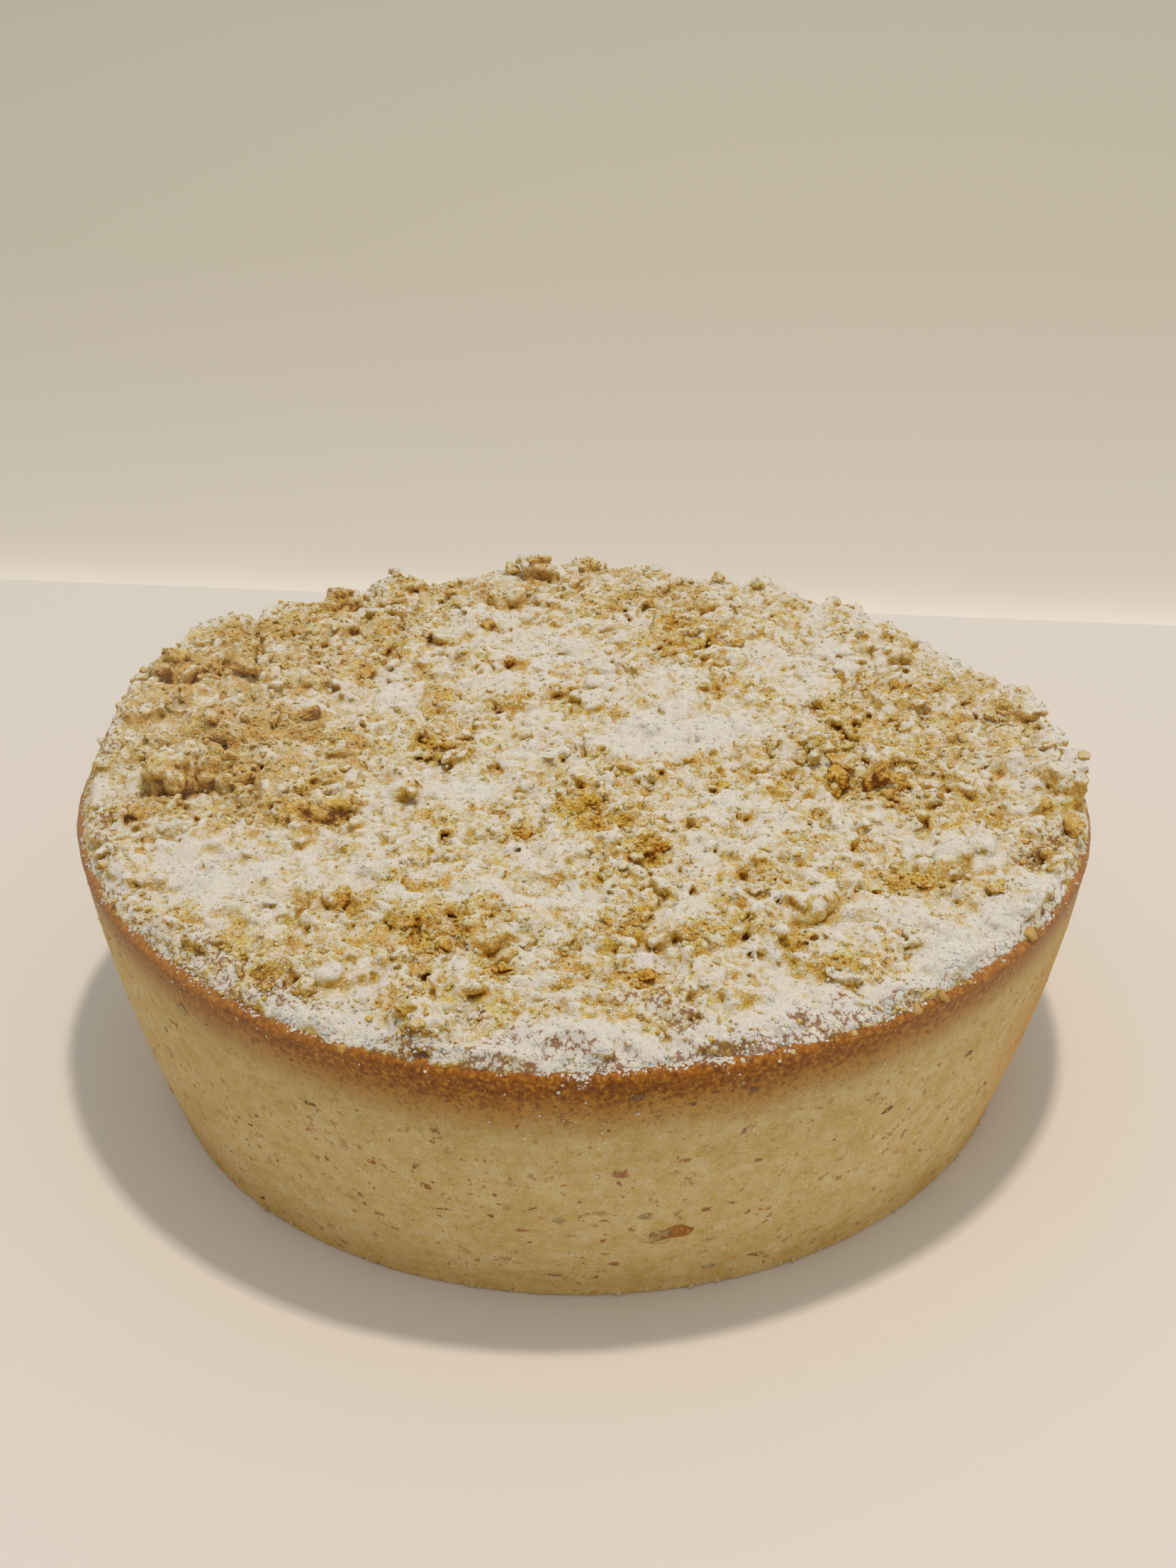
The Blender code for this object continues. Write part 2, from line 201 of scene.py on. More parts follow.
def granules(x, y, z, size, seed):
    """Distance to the nearest of scattered points, in parts of their spacing."""
    grid = [np.asarray(c, np.float32) / size + 61.7 for c in (x, y, z)]
    cell = [np.floor(g).astype(np.int32) for g in grid]
    table = np.random.RandomState(2000 + seed).uniform(0, 1, (3, 32, 32, 32)).astype(np.float32)
    best = np.full(grid[0].shape, 9.0, np.float32)
    for a in (-1, 0, 1):
        for b in (-1, 0, 1):
            for c in (-1, 0, 1):
                i, j, k = cell[0] + a, cell[1] + b, cell[2] + c
                at = (i & 31, j & 31, k & 31)
                gap = ((i + table[0][at] - grid[0]) ** 2 + (j + table[1][at] - grid[1]) ** 2
                       + (k + table[2][at] - grid[2]) ** 2)
                np.minimum(best, gap, out=best)
    return np.sqrt(best)


def smoothstep(a, b, x):
    t = np.clip((x - a) / (b - a), 0, 1)
    return t * t * (3 - 2 * t)


# ---------------------------------------------------------------- shape rules
def rim_radius(angle):
    return RIM_RADIUS * (1 + RIM_WAVE_COS * np.cos(4 * angle) + RIM_WAVE_SIN * np.sin(4 * angle))


def rim_height(angle, radius):
    return CASE_HEIGHT - RIM_TILT * (radius / RIM_RADIUS) * np.cos(angle)


def wall_radius(angle, t):
    wave = rim_radius(angle) / RIM_RADIUS - 1
    straight = BASE_RADIUS + (RIM_RADIUS - BASE_RADIUS) * t
    return (straight + WALL_BULGE * 4 * t * (1 - t)) * (1 + wave * t)


def swell(angle, middle, spread):
    turn = (np.degrees(angle) - middle + 180) % 360 - 180
    return np.exp(-(turn / spread) ** 2)


def outline_radius(angle):
    wander = (0.45 * np.sin(3 * angle + 0.7) + 0.35 * np.sin(7 * angle + 2.1)
              + 0.3 * np.sin(13 * angle + 4.0) + 0.25 * np.sin(22 * angle + 1.3))
    inset = EDGE_INSET + FRONT_INSET * swell(angle, 270.0, 55.0) + 0.25 * swell(angle, 228.0, 16.0) - 0.35 * swell(angle, 170.0, 35.0) - 0.55 * swell(angle, 346.0, 20.0) - 0.6 * EDGE_WANDER * wander
    return rim_radius(angle) - np.maximum(inset, 0.40)


def shoulder(x, y):
    angle = np.arctan2(y, x)
    width = SHOULDER + (HEAP_SHOULDER - SHOULDER) * swell(angle, HEAP_ANGLE, 1.3 * HEAP_SPREAD)
    inside = np.clip((outline_radius(angle) - np.hypot(x, y)) / width, 0, 1)
    return inside * (2 - inside)


def heap_base(x, y):
    """Height above the ground of the crumble's mean level."""
    angle = np.arctan2(y, x)
    rho = np.hypot(x, y) / RIM_RADIUS
    edge = (EDGE_RISE + BACK_RISE * np.sin(angle) + HEAP_RISE * swell(angle, HEAP_ANGLE, HEAP_SPREAD)
            + BANK_RISE * swell(angle, BANK_ANGLE, BANK_SPREAD) - DIP * swell(angle, DIP_ANGLE, DIP_SPREAD))
    blend = np.clip(rho, 0, 1) ** 2.2
    level = CENTRE_RISE * (1 - blend) + edge * blend
    thin = smoothstep(0.0, 3.0, outline_radius(angle) - np.hypot(x, y))
    return rim_height(angle, np.hypot(x, y)) + 0.15 + (GAP + EDGE_THICKNESS - 0.15) * thin + level * shoulder(x, y)


def clumps():
    """x, y, half length, half width, height, direction, sugar and tint of every clump."""
    rng = np.random.RandomState(CLUMP_SEED)
    found = [(x, y, a, b, h, math.radians(d), s, t) for x, y, a, b, h, d, s, t in MAIN_CLUMPS]
    looks = np.random.RandomState(CLUMP_SEED + 1)
    rows = int(2 * RIM_RADIUS / (CLUMP_SPACING * 0.87)) + 1
    for row in range(rows + 1):
        for col in range(rows + 1):
            x = -RIM_RADIUS + (col + 0.5 * (row % 2)) * CLUMP_SPACING + rng.uniform(-0.34, 0.34) * CLUMP_SPACING
            y = -RIM_RADIUS + row * CLUMP_SPACING * 0.87 + rng.uniform(-0.34, 0.34) * CLUMP_SPACING
            a = rng.uniform(*CLUMP_RADIUS)
            b = a * rng.uniform(0.62, 1.0)
            h = CLUMP_HEIGHT[0] + (CLUMP_HEIGHT[1] - CLUMP_HEIGHT[0]) * rng.uniform(0, 1) ** 1.6
            d = rng.uniform(0, math.pi)
            s, t = looks.uniform(0.35, 1.0), looks.uniform(-0.12, 0.14)
            if math.hypot(x, y) > RIM_RADIUS - 1.5 - 0.5 * b:
                continue
            if any(math.hypot(x - m[0], y - m[1]) < 0.8 * (m[2] + 0.3 * a) for m in found[:len(MAIN_CLUMPS)]):
                continue
            found.append((x, y, a, b, h, d, s, t))
    return found


# ---------------------------------------------------------------- mesh helpers
def new_object(name, points, faces):
    """A smooth-shaded mesh from points in mm and faces given as arrays of triangles or quads."""
    groups = [np.asarray(f, np.int32) for f in (faces if isinstance(faces, (list, tuple)) else [faces])]
    sizes = np.concatenate([np.full(len(g), g.shape[1], np.int32) for g in groups])
    corners = np.concatenate([g.ravel() for g in groups])
    mesh = bpy.data.meshes.new(name)
    mesh.vertices.add(len(points))
    mesh.vertices.foreach_set("co", np.ascontiguousarray(np.asarray(points) * 0.001, np.float32).ravel())
    mesh.loops.add(len(corners))
    mesh.loops.foreach_set("vertex_index", corners)
    mesh.polygons.add(len(sizes))
    mesh.polygons.foreach_set("loop_start", np.concatenate([[0], np.cumsum(sizes)[:-1]]).astype(np.int32))
    mesh.update(calc_edges=True)
    mesh.validate()
    mesh.shade_smooth()
    obj = bpy.data.objects.new(name, mesh)
    bpy.context.scene.collection.objects.link(obj)
    return obj


def triangles(obj):
    totals = np.zeros(len(obj.data.polygons), np.int32)
    obj.data.polygons.foreach_get("loop_total", totals)
    return int((totals - 2).sum())


def attribute(obj, name, values):
    layer = obj.data.attributes.new(name, "FLOAT", "POINT")
    layer.data.foreach_set("value", np.ascontiguousarray(values, np.float32))


def normals_of(obj):
    out = np.zeros(len(obj.data.vertices) * 3, np.float32)
    obj.data.vertices.foreach_get("normal", out)
    return out.reshape(-1, 3)


def surface_nets(field, origin, step):
    """Points and quads of the surface where the field crosses zero, faces pointing to its negative side."""
    inside = field > 0
    count = np.zeros(tuple(n - 1 for n in field.shape), np.int8)
    corners = [(a, b, c) for a in (0, 1) for b in (0, 1) for c in (0, 1)]
    nx, ny, nz = count.shape
    for a, b, c in corners:
        count += inside[a:a + nx, b:b + ny, c:c + nz]
    active = (count > 0) & (count < 8)
    number = np.full(active.shape, -1, np.int32)
    cells = np.argwhere(active)
    number[active] = np.arange(len(cells))
    i, j, k = cells.T
    values = {c: field[i + c[0], j + c[1], k + c[2]] for c in corners}
    total = np.zeros((len(cells), 3), np.float32)
    hits = np.zeros(len(cells), np.float32)
    for c in corners:
        for axis in range(3):
            if c[axis]:
                continue
            other = tuple(1 if n == axis else c[n] for n in range(3))
            va, vb = values[c], values[other]
            cross = (va > 0) != (vb > 0)
            t = np.where(cross, va / np.where(cross, va - vb, 1), 0)
            point = np.tile(np.array(c, np.float32), (len(cells), 1))
            point[:, axis] = t
            total += point * cross[:, None]
            hits += cross
    points = np.array(origin, np.float32) + (cells + total / hits[:, None]) * step
    quads = []
    for axis in range(3):
        p, q = (axis + 1) % 3, (axis + 2) % 3
        low = [slice(1, -1)] * 3
        low[axis] = slice(0, -1)
        high = [slice(1, -1)] * 3
        high[axis] = slice(1, None)
        a, b = inside[tuple(low)], inside[tuple(high)]
        at = np.argwhere(a != b)
        up = a[tuple(at.T)]
        at[:, p] += 1
        at[:, q] += 1
        ring = []
        for dp, dq in ((-1, -1), (0, -1), (0, 0), (-1, 0)):
            cell = at.copy()
            cell[:, p] += dp
            cell[:, q] += dq
            ring.append(number[tuple(cell.T)])
        ring = np.stack(ring, 1)
        ring[~up] = ring[~up][:, ::-1]
        quads.append(ring)
    return points, np.concatenate(quads)


def blur(grid, passes, below=1.0):
    """Repeated 1-2-1 filter along each axis, with the grid's edge values carried on beyond it. The argument below is
    not used.
    """
    out = grid.astype(np.float32)
    for _ in range(passes):
        for axis in range(3):
            pad = [(0, 0)] * 3
            pad[axis] = (1, 1)
            wide = np.pad(out, pad, mode="edge")
            lo = [slice(None)] * 3
            hi = [slice(None)] * 3
            lo[axis] = slice(0, -2)
            hi[axis] = slice(2, None)
            out = 0.5 * out + 0.25 * (wide[tuple(lo)] + wide[tuple(hi)])
    return out


def sample(grid, origin, step, points):
    """The grid's values at the points, interpolated."""
    g = (points - np.array(origin, np.float32)) / step
    g = np.clip(g, 0, np.array(grid.shape) - 1.001)
    i = np.floor(g).astype(int)
    f = g - i
    out = 0
    for a in (0, 1):
        for b in (0, 1):
            for c in (0, 1):
                w = (f[:, 0] if a else 1 - f[:, 0]) * (f[:, 1] if b else 1 - f[:, 1]) * (f[:, 2] if c else 1 - f[:, 2])
                out = out + w * grid[i[:, 0] + a, i[:, 1] + b, i[:, 2] + c]
    return out


# ---------------------------------------------------------------- crumble field
STEP = 0.42
LOW = (-87.0, -87.0, 48.0)
SHAPE = tuple(int(n / STEP) + 2 for n in (174.0, 174.0, 15.5))
TARGET = 192000                 # triangles kept in the heap


def smooth_max(a, b, k):
    h = np.clip(0.5 + 0.5 * (a - b) / k, 0, 1)
    return b + (a - b) * h + k * h * (1 - h)


def crumble_field():
    """The field, the number of the clump at each point, and the clumps' sugar and shade."""
    axes = [np.float32(LOW[n]) + np.arange(SHAPE[n], dtype=np.float32) * np.float32(STEP) for n in range(3)]
    gx, gy = np.meshgrid(axes[0], axes[1], indexing="ij")
    base = heap_base(gx, gy)
    sh = shoulder(gx, gy)
    x, y, z = np.meshgrid(*axes, indexing="ij")
    # The space is bent a little, so that no clump is a plain ellipsoid
    wx = x + 1.1 * noise(x, y, z, 4.6, 1) + 0.4 * noise(x, y, z, 1.9, 2)
    wy = y + 1.1 * noise(x, y, z, 4.6, 3) + 0.4 * noise(x, y, z, 1.9, 4)
    wz = z + 0.45 * noise(x, y, z, 4.6, 5) + 0.25 * noise(x, y, z, 1.9, 6)
    bed = base + sh * (0.45 * noise(gx, gy, 0 * gx, 8.0, 7) + 0.35 * noise(gx, gy, 0 * gx, 4.0, 12) - 0.3)
    field = (bed[:, :, None] - wz).astype(np.float32)
    owner = np.zeros(field.shape, np.int32)
    sugar, shade = [0.7], [0.0]

    def box(centre, reach):
        lo = [max(0, int((p - reach - q) / STEP)) for p, q in zip(centre, LOW)]
        hi = [min(n, int((p + reach - q) / STEP) + 2) for p, q, n in zip(centre, LOW, SHAPE)]
        return None if any(h <= l for l, h in zip(lo, hi)) else tuple(slice(l, h) for l, h in zip(lo, hi))

    def add(cx, cy, cz, a, b, c, d, lean, s, t, soft=0.5, boxy=2.5):
        part = box((cx, cy, cz), max(a, b, c) + 1.8)
        if part is None:
            return
        dx, dy, dz = wx[part] - cx, wy[part] - cy, wz[part] - cz
        u = dx * math.cos(d) + dy * math.sin(d)
        v = (-dx * math.sin(d) + dy * math.cos(d)) / b
        w = (dz - lean * u) / c
        u = u / a
        # A rounded box rather than an ellipsoid: crumbs have flat sides
        dist = (np.abs(u) ** boxy + np.abs(v) ** boxy + np.abs(w) ** boxy) ** (1 / boxy)
        value = (1 - dist) * min(a, b, c)
        better = value > field[part]
        field[part] = smooth_max(value, field[part], soft)
        owner[part] = np.where(better, len(sugar), owner[part])
        sugar.append(s)
        shade.append(t)

    rng = np.random.RandomState(5)
    for number, (cx, cy, a, b, h, d, s, t) in enumerate(clumps()):
        at = (int((cx - LOW[0]) / STEP), int((cy - LOW[1]) / STEP))
        main = number < len(MAIN_CLUMPS)
        h = h * float(sh[at]) * (0.92 if main else 0.62)
        c = min(max(0.8 * h + 0.6, 1.2), 4.2)
        add(cx, cy, float(base[at]) + h - c - 0.35, a * 0.95, b * 0.95, c, d, rng.uniform(-0.12, 0.12), s, t,
            0.3 if main else 0.55)

    def top():
        """Height of the surface in each column."""
        inside = field > 0
        k = inside.shape[2] - 1 - np.argmax(inside[:, :, ::-1], axis=2)
        k = np.clip(k, 0, SHAPE[2] - 2)
        ii, jj = np.indices(k.shape)
        va, vb = field[ii, jj, k], field[ii, jj, k + 1]
        t = np.clip(va / np.maximum(va - vb, 1e-6), 0, 1)
        return np.where(inside.any(axis=2), LOW[2] + (k + t) * STEP, LOW[2]).astype(np.float32)

    for number, (r0, r1), (low, high), soft in ((640, (1.7, 3.2), (-0.85, -0.15), 0.28), (2400, (0.9, 1.6), (-0.85, 0.0), 0.2)):
        height = top()
        open_crumb = smoothstep(0.2, -0.3, marks(gx, gy)[0])
        for _ in range(number):
            r = RIM_RADIUS * math.sqrt(rng.uniform())
            d = rng.uniform(0, 2 * math.pi)
            cx, cy = r * math.cos(d), r * math.sin(d)
            size = r0 + (r1 - r0) * rng.uniform() ** 1.5
            flat = rng.uniform(0.5, 0.85)
            spin, lean = rng.uniform(0, math.pi), rng.uniform(-0.35, 0.35)
            lift = low + (high - low) * rng.uniform() ** 1.7
            s, t, long = rng.uniform(0.25, 1.0), rng.normal(0, 0.08), rng.uniform(0.9, 1.35)
            if r > outline_radius(np.array(d)) - 0.6 * size:
                continue
            at = (int((cx - LOW[0]) / STEP), int((cy - LOW[1]) / STEP))
            lift += 0.30 * open_crumb[at]
            add(cx, cy, float(height[at]) + lift * size * flat, size * long, size / long, size * flat, spin, lean,
                s, t, soft)

    # Gaps that the crumb left under its clumps
    height = top()
    gaps = [(px, py, half, way, 0.66 * deep) for px, py, half, way, deep in GAPS]
    for _ in range(45):
        r, d = 78 * math.sqrt(rng.uniform()), rng.uniform(0, 2 * math.pi)
        way = rng.uniform(0, 360) if rng.uniform() < 0.5 else rng.normal(270, 35)
        gaps.append((r * math.cos(d), r * math.sin(d), rng.uniform(1.0, 2.4), way, rng.uniform(0.7, 1.2)))
    for px, py, half, way, deep in gaps:
        way = math.radians(way)
        at = (int((px - LOW[0]) / STEP), int((py - LOW[1]) / STEP))
        floor_z = float(height[at])
        part = box((px, py, floor_z), half + deep + 1.5)
        if part is None:
            continue
        dx, dy = wx[part] - px, wy[part] - py
        along = -dx * math.sin(way) + dy * math.cos(way)
        into = -(dx * math.cos(way) + dy * math.sin(way))
        tall = 0.30 + 0.16 * deep
        dist = np.sqrt((along / half) ** 2 + ((into - 0.1 * deep) / deep) ** 2 + ((z[part] - floor_z + 0.15 - 0.1 * into) / tall) ** 2)
        field[part] = np.minimum(field[part], (dist - 1) * tall)

    # Granules, with bumps and creases between them
    field += 0.16 * (2 * np.abs(noise(x, y, z, 2.6, 8)) - 0.6)
    near = np.abs(field) < 0.9
    bent = [c[near] + 0.35 * noise(x[near], y[near], z[near], 1.3, 74 + n) for n, c in enumerate((x, y, z))]
    much = np.repeat((0.40 + 0.80 * smoothstep(0.35, -0.15, marks(gx, gy)[0]))[:, :, None], SHAPE[2], axis=2)[near]
    field[near] += much * (0.70 * (0.50 - granules(*bent, 2.1, 1)) + 0.36 * (0.50 - granules(*bent, 1.2, 2)))
    angle, radius = np.arctan2(gy, gx), np.hypot(gx, gy)
    # The edge runs out in a slope on the rim
    ragged = 0.5 * noise(x, y, z, 2.6, 10) + 0.35 * noise(x, y, z, 1.2, 11)
    side = 0.8 * ((outline_radius(angle) - radius)[:, :, None] + ragged)
    side = side - 0.6 * np.clip(z - (rim_height(angle, radius) + 0.1)[:, :, None], 0, 1.2)
    side = np.minimum(side, (rim_radius(angle) - 0.4 - radius)[:, :, None])
    field = np.minimum(field, side.astype(np.float32))
    field = np.minimum(field, TOP_LIMIT - z)
    return field, owner, np.array(sugar, np.float32), np.array(shade, np.float32), top()


def marks(x, y):
    """Change of sugar and of shade by place."""
    flat = 0 * x
    sugar = 0.16 * noise(x, y, flat, 15.0, 20) + 0.22 * noise(x, y, flat, 6.0, 21) + 0.12 * noise(x, y, flat, 2.6, 23)
    shade = 0.06 * noise(x, y, flat, 12.0, 24) + 0.08 * noise(x, y, flat, 4.0, 25)
    bx = x + 1.3 * noise(x, y, flat, 4.0, 26) + 0.7 * noise(x, y, flat, 1.8, 27)
    by = y + 1.3 * noise(x, y, flat, 4.0, 28) + 0.7 * noise(x, y, flat, 1.8, 29)
    for px, py, a, b, way, more, dark in MARKS:
        c, s = math.cos(math.radians(way)), math.sin(math.radians(way))
        u, v = ((bx - px) * c + (by - py) * s) / a, (-(bx - px) * s + (by - py) * c) / b
        fade = np.exp(-(u * u + v * v) ** 1.5)
        sugar += more * fade
        shade += dark * fade
    return sugar, shade


def lace_at(x, y):
    """How far the crust shows through the powder, by place."""
    flat = 0 * x
    bx = x + 1.2 * noise(x, y, flat, 3.2, 72) + 0.6 * noise(x, y, flat, 1.4, 74)
    by = y + 1.2 * noise(x, y, flat, 3.2, 73) + 0.6 * noise(x, y, flat, 1.4, 75)
    most = flat
    for px, py, a, b, way, much in LACE:
        c, s = math.cos(math.radians(way)), math.sin(math.radians(way))
        u, v = ((bx - px) * c + (by - py) * s) / a, (-(bx - px) * s + (by - py) * c) / b
        most = np.maximum(most, much * np.exp(-(u * u + v * v) ** 1.3))
    return most


def set_beige(obj):
    """Where the crumb is a duller tan than elsewhere: at the left, the back and the right edge."""
    co = np.zeros(len(obj.data.vertices) * 3, np.float32)
    obj.data.vertices.foreach_get("co", co)
    x, y = co[0::3] * 1000, co[1::3] * 1000
    left = np.exp(-(((x + 66) / 34) ** 2 + ((y - 16) / 50) ** 2))
    back = 0.55 * np.exp(-((x / 70) ** 2 + ((y - 72) / 22) ** 2))
    right = 0.5 * np.exp(-(((x - 74) / 22) ** 2 + ((y - 10) / 40) ** 2))
    attribute(obj, "beige", np.clip(left + back + right, 0, 1))


def tone_of(more, dark, facing, sugar, hollow_bare_and_shade):
    """0 for white with sugar, through straw and gold, to 1 for dark brown. The hollow term browns it: partly bare
    crumb, partly painted shade.
    """
    return np.clip(0.285 - 0.50 * more + 0.18 * dark - 0.24 * (facing - 0.7) - 0.12 * (sugar - 0.6) + 0.22 * hollow_bare_and_shade, -0.3, 0.92)


def thin_out(obj, target):
    """Fewer triangles, kept where the surface is rough."""
    count = triangles(obj)
    if count > target:
        change = obj.modifiers.new("thin", "DECIMATE")
        change.ratio = target / count
        depsgraph = bpy.context.evaluated_depsgraph_get()
        mesh = bpy.data.meshes.new_from_object(obj.evaluated_get(depsgraph))
        obj.modifiers.clear()
        old = obj.data
        obj.data = mesh
        bpy.data.meshes.remove(old)
        obj.data.shade_smooth()
    return count


def drop_specks(obj):
    """Leave only the heap itself, without specks of surface that float free of it."""
    bm = bmesh.new()
    bm.from_mesh(obj.data)
    bm.verts.index_update()
    seen = [False] * len(bm.verts)
    groups = []
    for first in bm.verts:
        if seen[first.index]:
            continue
        seen[first.index] = True
        group = [first]
        for vert in group:
            for edge in vert.link_edges:
                other = edge.other_vert(vert)
                if not seen[other.index]:
                    seen[other.index] = True
                    group.append(other)
        groups.append(group)
    groups.sort(key=len)
    bmesh.ops.delete(bm, geom=[vert for group in groups[:-1] for vert in group], context="VERTS")
    bm.to_mesh(obj.data)
    bm.free()
    obj.data.validate()
    obj.data.update()


def make_crumble():
    field, owner, sugar, shade, height = crumble_field()
    print("field", round(time.time() - T0, 1), "s")
    points, quads = surface_nets(field, LOW, STEP)
    # Close the foot, which lies inside the case, with a fan
    steps = np.concatenate([quads[:, [0, 1]], quads[:, [1, 2]], quads[:, [2, 3]], quads[:, [3, 0]]])
    keys = steps[:, 0].astype(np.int64) * len(points) + steps[:, 1]
    back = steps[:, 1].astype(np.int64) * len(points) + steps[:, 0]
    alone = steps[~np.isin(keys, back)]
    middle = len(points)
    points = np.vstack([points, [[0, 0, LOW[2]]]])
    fan = np.column_stack([alone[:, 1], alone[:, 0], np.full(len(alone), middle)])
    obj = new_object("crumble_heap", points, [quads, fan])
    before = thin_out(obj, TARGET)
    drop_specks(obj)
    co = np.zeros(len(obj.data.vertices) * 3, np.float32)
    obj.data.vertices.foreach_get("co", co)
    co = co.reshape(-1, 3) * 1000
    nrm = normals_of(obj)
    x, y, z = co.T
    # Rough where crumb shows, softer under powder
    more, _ = marks(x, y)
    rough = (0.10 * noise(x, y, z, 1.1, 44) + 0.10 * noise(x, y, z, 0.7, 45)) * (1.1 - 0.9 * smoothstep(-0.1, 0.4, more))
    co = co + nrm * (rough * smoothstep(49.6, 50.6, z))[:, None]
    obj.data.vertices.foreach_set("co", np.ascontiguousarray(co * 0.001, np.float32).ravel())
    obj.data.update()
    nrm = normals_of(obj)
    full = (field > 0).astype(np.float32)
    near = blur(full, 4)
    wide = blur(full, 20)
    cav_near = sample(near, LOW, STEP, co)
    cav_wide = sample(wide, LOW, STEP, co)
    e = STEP
    grad = np.stack([sample(near, LOW, STEP, co + d) - sample(near, LOW, STEP, co - d)
                     for d in (np.array([e, 0, 0]), np.array([0, e, 0]), np.array([0, 0, e]))], 1)
    up = -grad[:, 2] / np.maximum(np.linalg.norm(grad, axis=1), 1e-6)
    column = np.repeat(height[:, :, None], 2, axis=2)
    drop = sample(column, LOW, STEP, np.column_stack([co[:, :2], np.full(len(co), LOW[2])])) - co[:, 2]
    cell = np.clip(((co - np.array(LOW)) / STEP + 0.5).astype(int), 0, np.array(SHAPE) - 1)
    who = owner[cell[:, 0], cell[:, 1], cell[:, 2]]
    facing = smoothstep(0.1, 0.95, 0.5 * up + 0.5 * nrm[:, 2])
    covered = smoothstep(0.5, 1.5, drop)
    rim = smoothstep(1.5, 3.5, outline_radius(np.arctan2(co[:, 1], co[:, 0])) - np.hypot(co[:, 0], co[:, 1]))
    more, dark = marks(co[:, 0], co[:, 1])
    # Hollows, creases and places under overhangs get a browner tone: partly crumb that the powder misses, partly
    # painted shade.
    hollow_bare_and_shade = np.clip(0.35 * smoothstep(0.56, 0.82, cav_wide) * rim + 0.6 * smoothstep(0.62, 0.90, cav_near)
                     + 0.5 * covered * rim, 0, 1)
    angle, inside = np.arctan2(co[:, 1], co[:, 0]), outline_radius(np.arctan2(co[:, 1], co[:, 0])) - np.hypot(co[:, 0], co[:, 1])
    # Powder lies right up to the rim, with the brown crust showing between its clots
    foot = smoothstep(7.0, 2.0, inside) * rim_dust(angle) * smoothstep(0.1, 0.6, facing) * (1 - 0.7 * swell(angle, 172.0, 28.0))
    tone = tone_of(more, dark + shade[who], facing * (1 - 0.6 * covered), sugar[who], hollow_bare_and_shade)
    # Granules are whiter on top, with crumb in the seams between them; the darker seams are partly painted shade.
    tone = tone + 0.9 * (np.clip(sample(blur(full, 2), LOW, STEP, co), 0.36, 0.80) - 0.52) * rim
    attribute(obj, "tone", tone - foot * (0.15 + 0.8 * np.clip(tone, 0, 0.4)))
    where = smoothstep(0.0, 0.6, noise(co[:, 0], co[:, 1], 0 * angle, 9.0, 70) + 0.5 * noise(co[:, 0], co[:, 1], 0 * angle, 3.0, 71))
    ring = smoothstep(3.6, 0.6, inside) * (0.15 + 0.60 * where)
    low = smoothstep(3.2, 1.6, co[:, 2] - rim_height(angle, np.hypot(co[:, 0], co[:, 1])))
    attribute(obj, "lace", np.maximum(ring * low, lace_at(co[:, 0], co[:, 1])))
    set_beige(obj)
    print("crumble", before, "->", triangles(obj), "triangles, upward",
          round(float((nrm[:, 2] > 0).mean()), 2), "top", round(float(co[:, 2].max()), 2),
          "loop", len(alone), round(time.time() - T0, 1), "s")
    return obj, height


# ---------------------------------------------------------------- loose pieces
def surface(height, x, y):
    """Height of what lies on top at each place: the crumble, or the case's rim round it."""
    gx = np.clip((np.asarray(x) - LOW[0]) / STEP, 0, SHAPE[0] - 1.001)
    gy = np.clip((np.asarray(y) - LOW[1]) / STEP, 0, SHAPE[1] - 1.001)
    i, j = gx.astype(int), gy.astype(int)
    u, v = gx - i, gy - j
    heap = (height[i, j] * (1 - u) + height[i + 1, j] * u) * (1 - v) + (height[i, j + 1] * (1 - u) + height[i + 1, j + 1] * u) * v
    radius, angle = np.hypot(x, y), np.arctan2(y, x)
    inward = np.clip((rim_radius(angle) - radius) / RIM_EDGE, 0, 1)
    rim = rim_height(angle, radius) - RIM_EDGE * (1 - np.sqrt(1 - (1 - inward) ** 2))
    return np.maximum(heap, rim)


def crumb_shapes(rng, count, detail, flats=9, rough=0.2):
    """Broken crumbs about 1 mm in radius: a ball with its sides cut away, then roughened."""
    shapes = []
    for _ in range(count):
        bm = bmesh.new()
        bmesh.ops.create_icosphere(bm, subdivisions=detail, radius=1.0)
        co = np.array([v.co[:] for v in bm.verts], np.float32)
        tri = np.array([[v.index for v in f.verts] for f in bm.faces], np.int32)
        bm.free()
        shift = rng.uniform(0, 50, 3)
        if detail > 1:
            q = co * 1.0 + shift
            co = co * (1 + 1.6 * rough * noise(q[:, 0], q[:, 1], q[:, 2], 1.2, 39))[:, None]
        for _ in range(flats):
            way = rng.normal(size=3)
            way /= np.linalg.norm(way)
            over = np.maximum(co @ way - rng.uniform(0.45, 0.85), 0)
            co = co - over[:, None] * way[None, :] * rng.uniform(0.6, 1.0)
        q = co + shift
        if detail > 1:
            push = rough * noise(q[:, 0], q[:, 1], q[:, 2], 0.62, 40) + 0.7 * rough * noise(q[:, 0], q[:, 1], q[:, 2], 0.34, 41)
            co = co * (1 + push)[:, None]
            if detail > 3:
                co = co * (1 + 0.45 * rough * noise(q[:, 0], q[:, 1], q[:, 2], 0.17, 42))[:, None]
        else:
            co = co + rng.uniform(-1, 1, co.shape) * 0.22
        shapes.append((co, tri))
    return shapes


def turns(rng, count):
    """Random rotation matrices."""
    q = rng.normal(size=(count, 4))
    q /= np.linalg.norm(q, axis=1)[:, None]
    w, x, y, z = q.T
    return np.stack([
        np.stack([1 - 2 * (y * y + z * z), 2 * (x * y - z * w), 2 * (x * z + y * w)], 1),
        np.stack([2 * (x * y + z * w), 1 - 2 * (x * x + z * z), 2 * (y * z - x * w)], 1),
        np.stack([2 * (x * z - y * w), 2 * (y * z + x * w), 1 - 2 * (x * x + y * y)], 1)], 1)


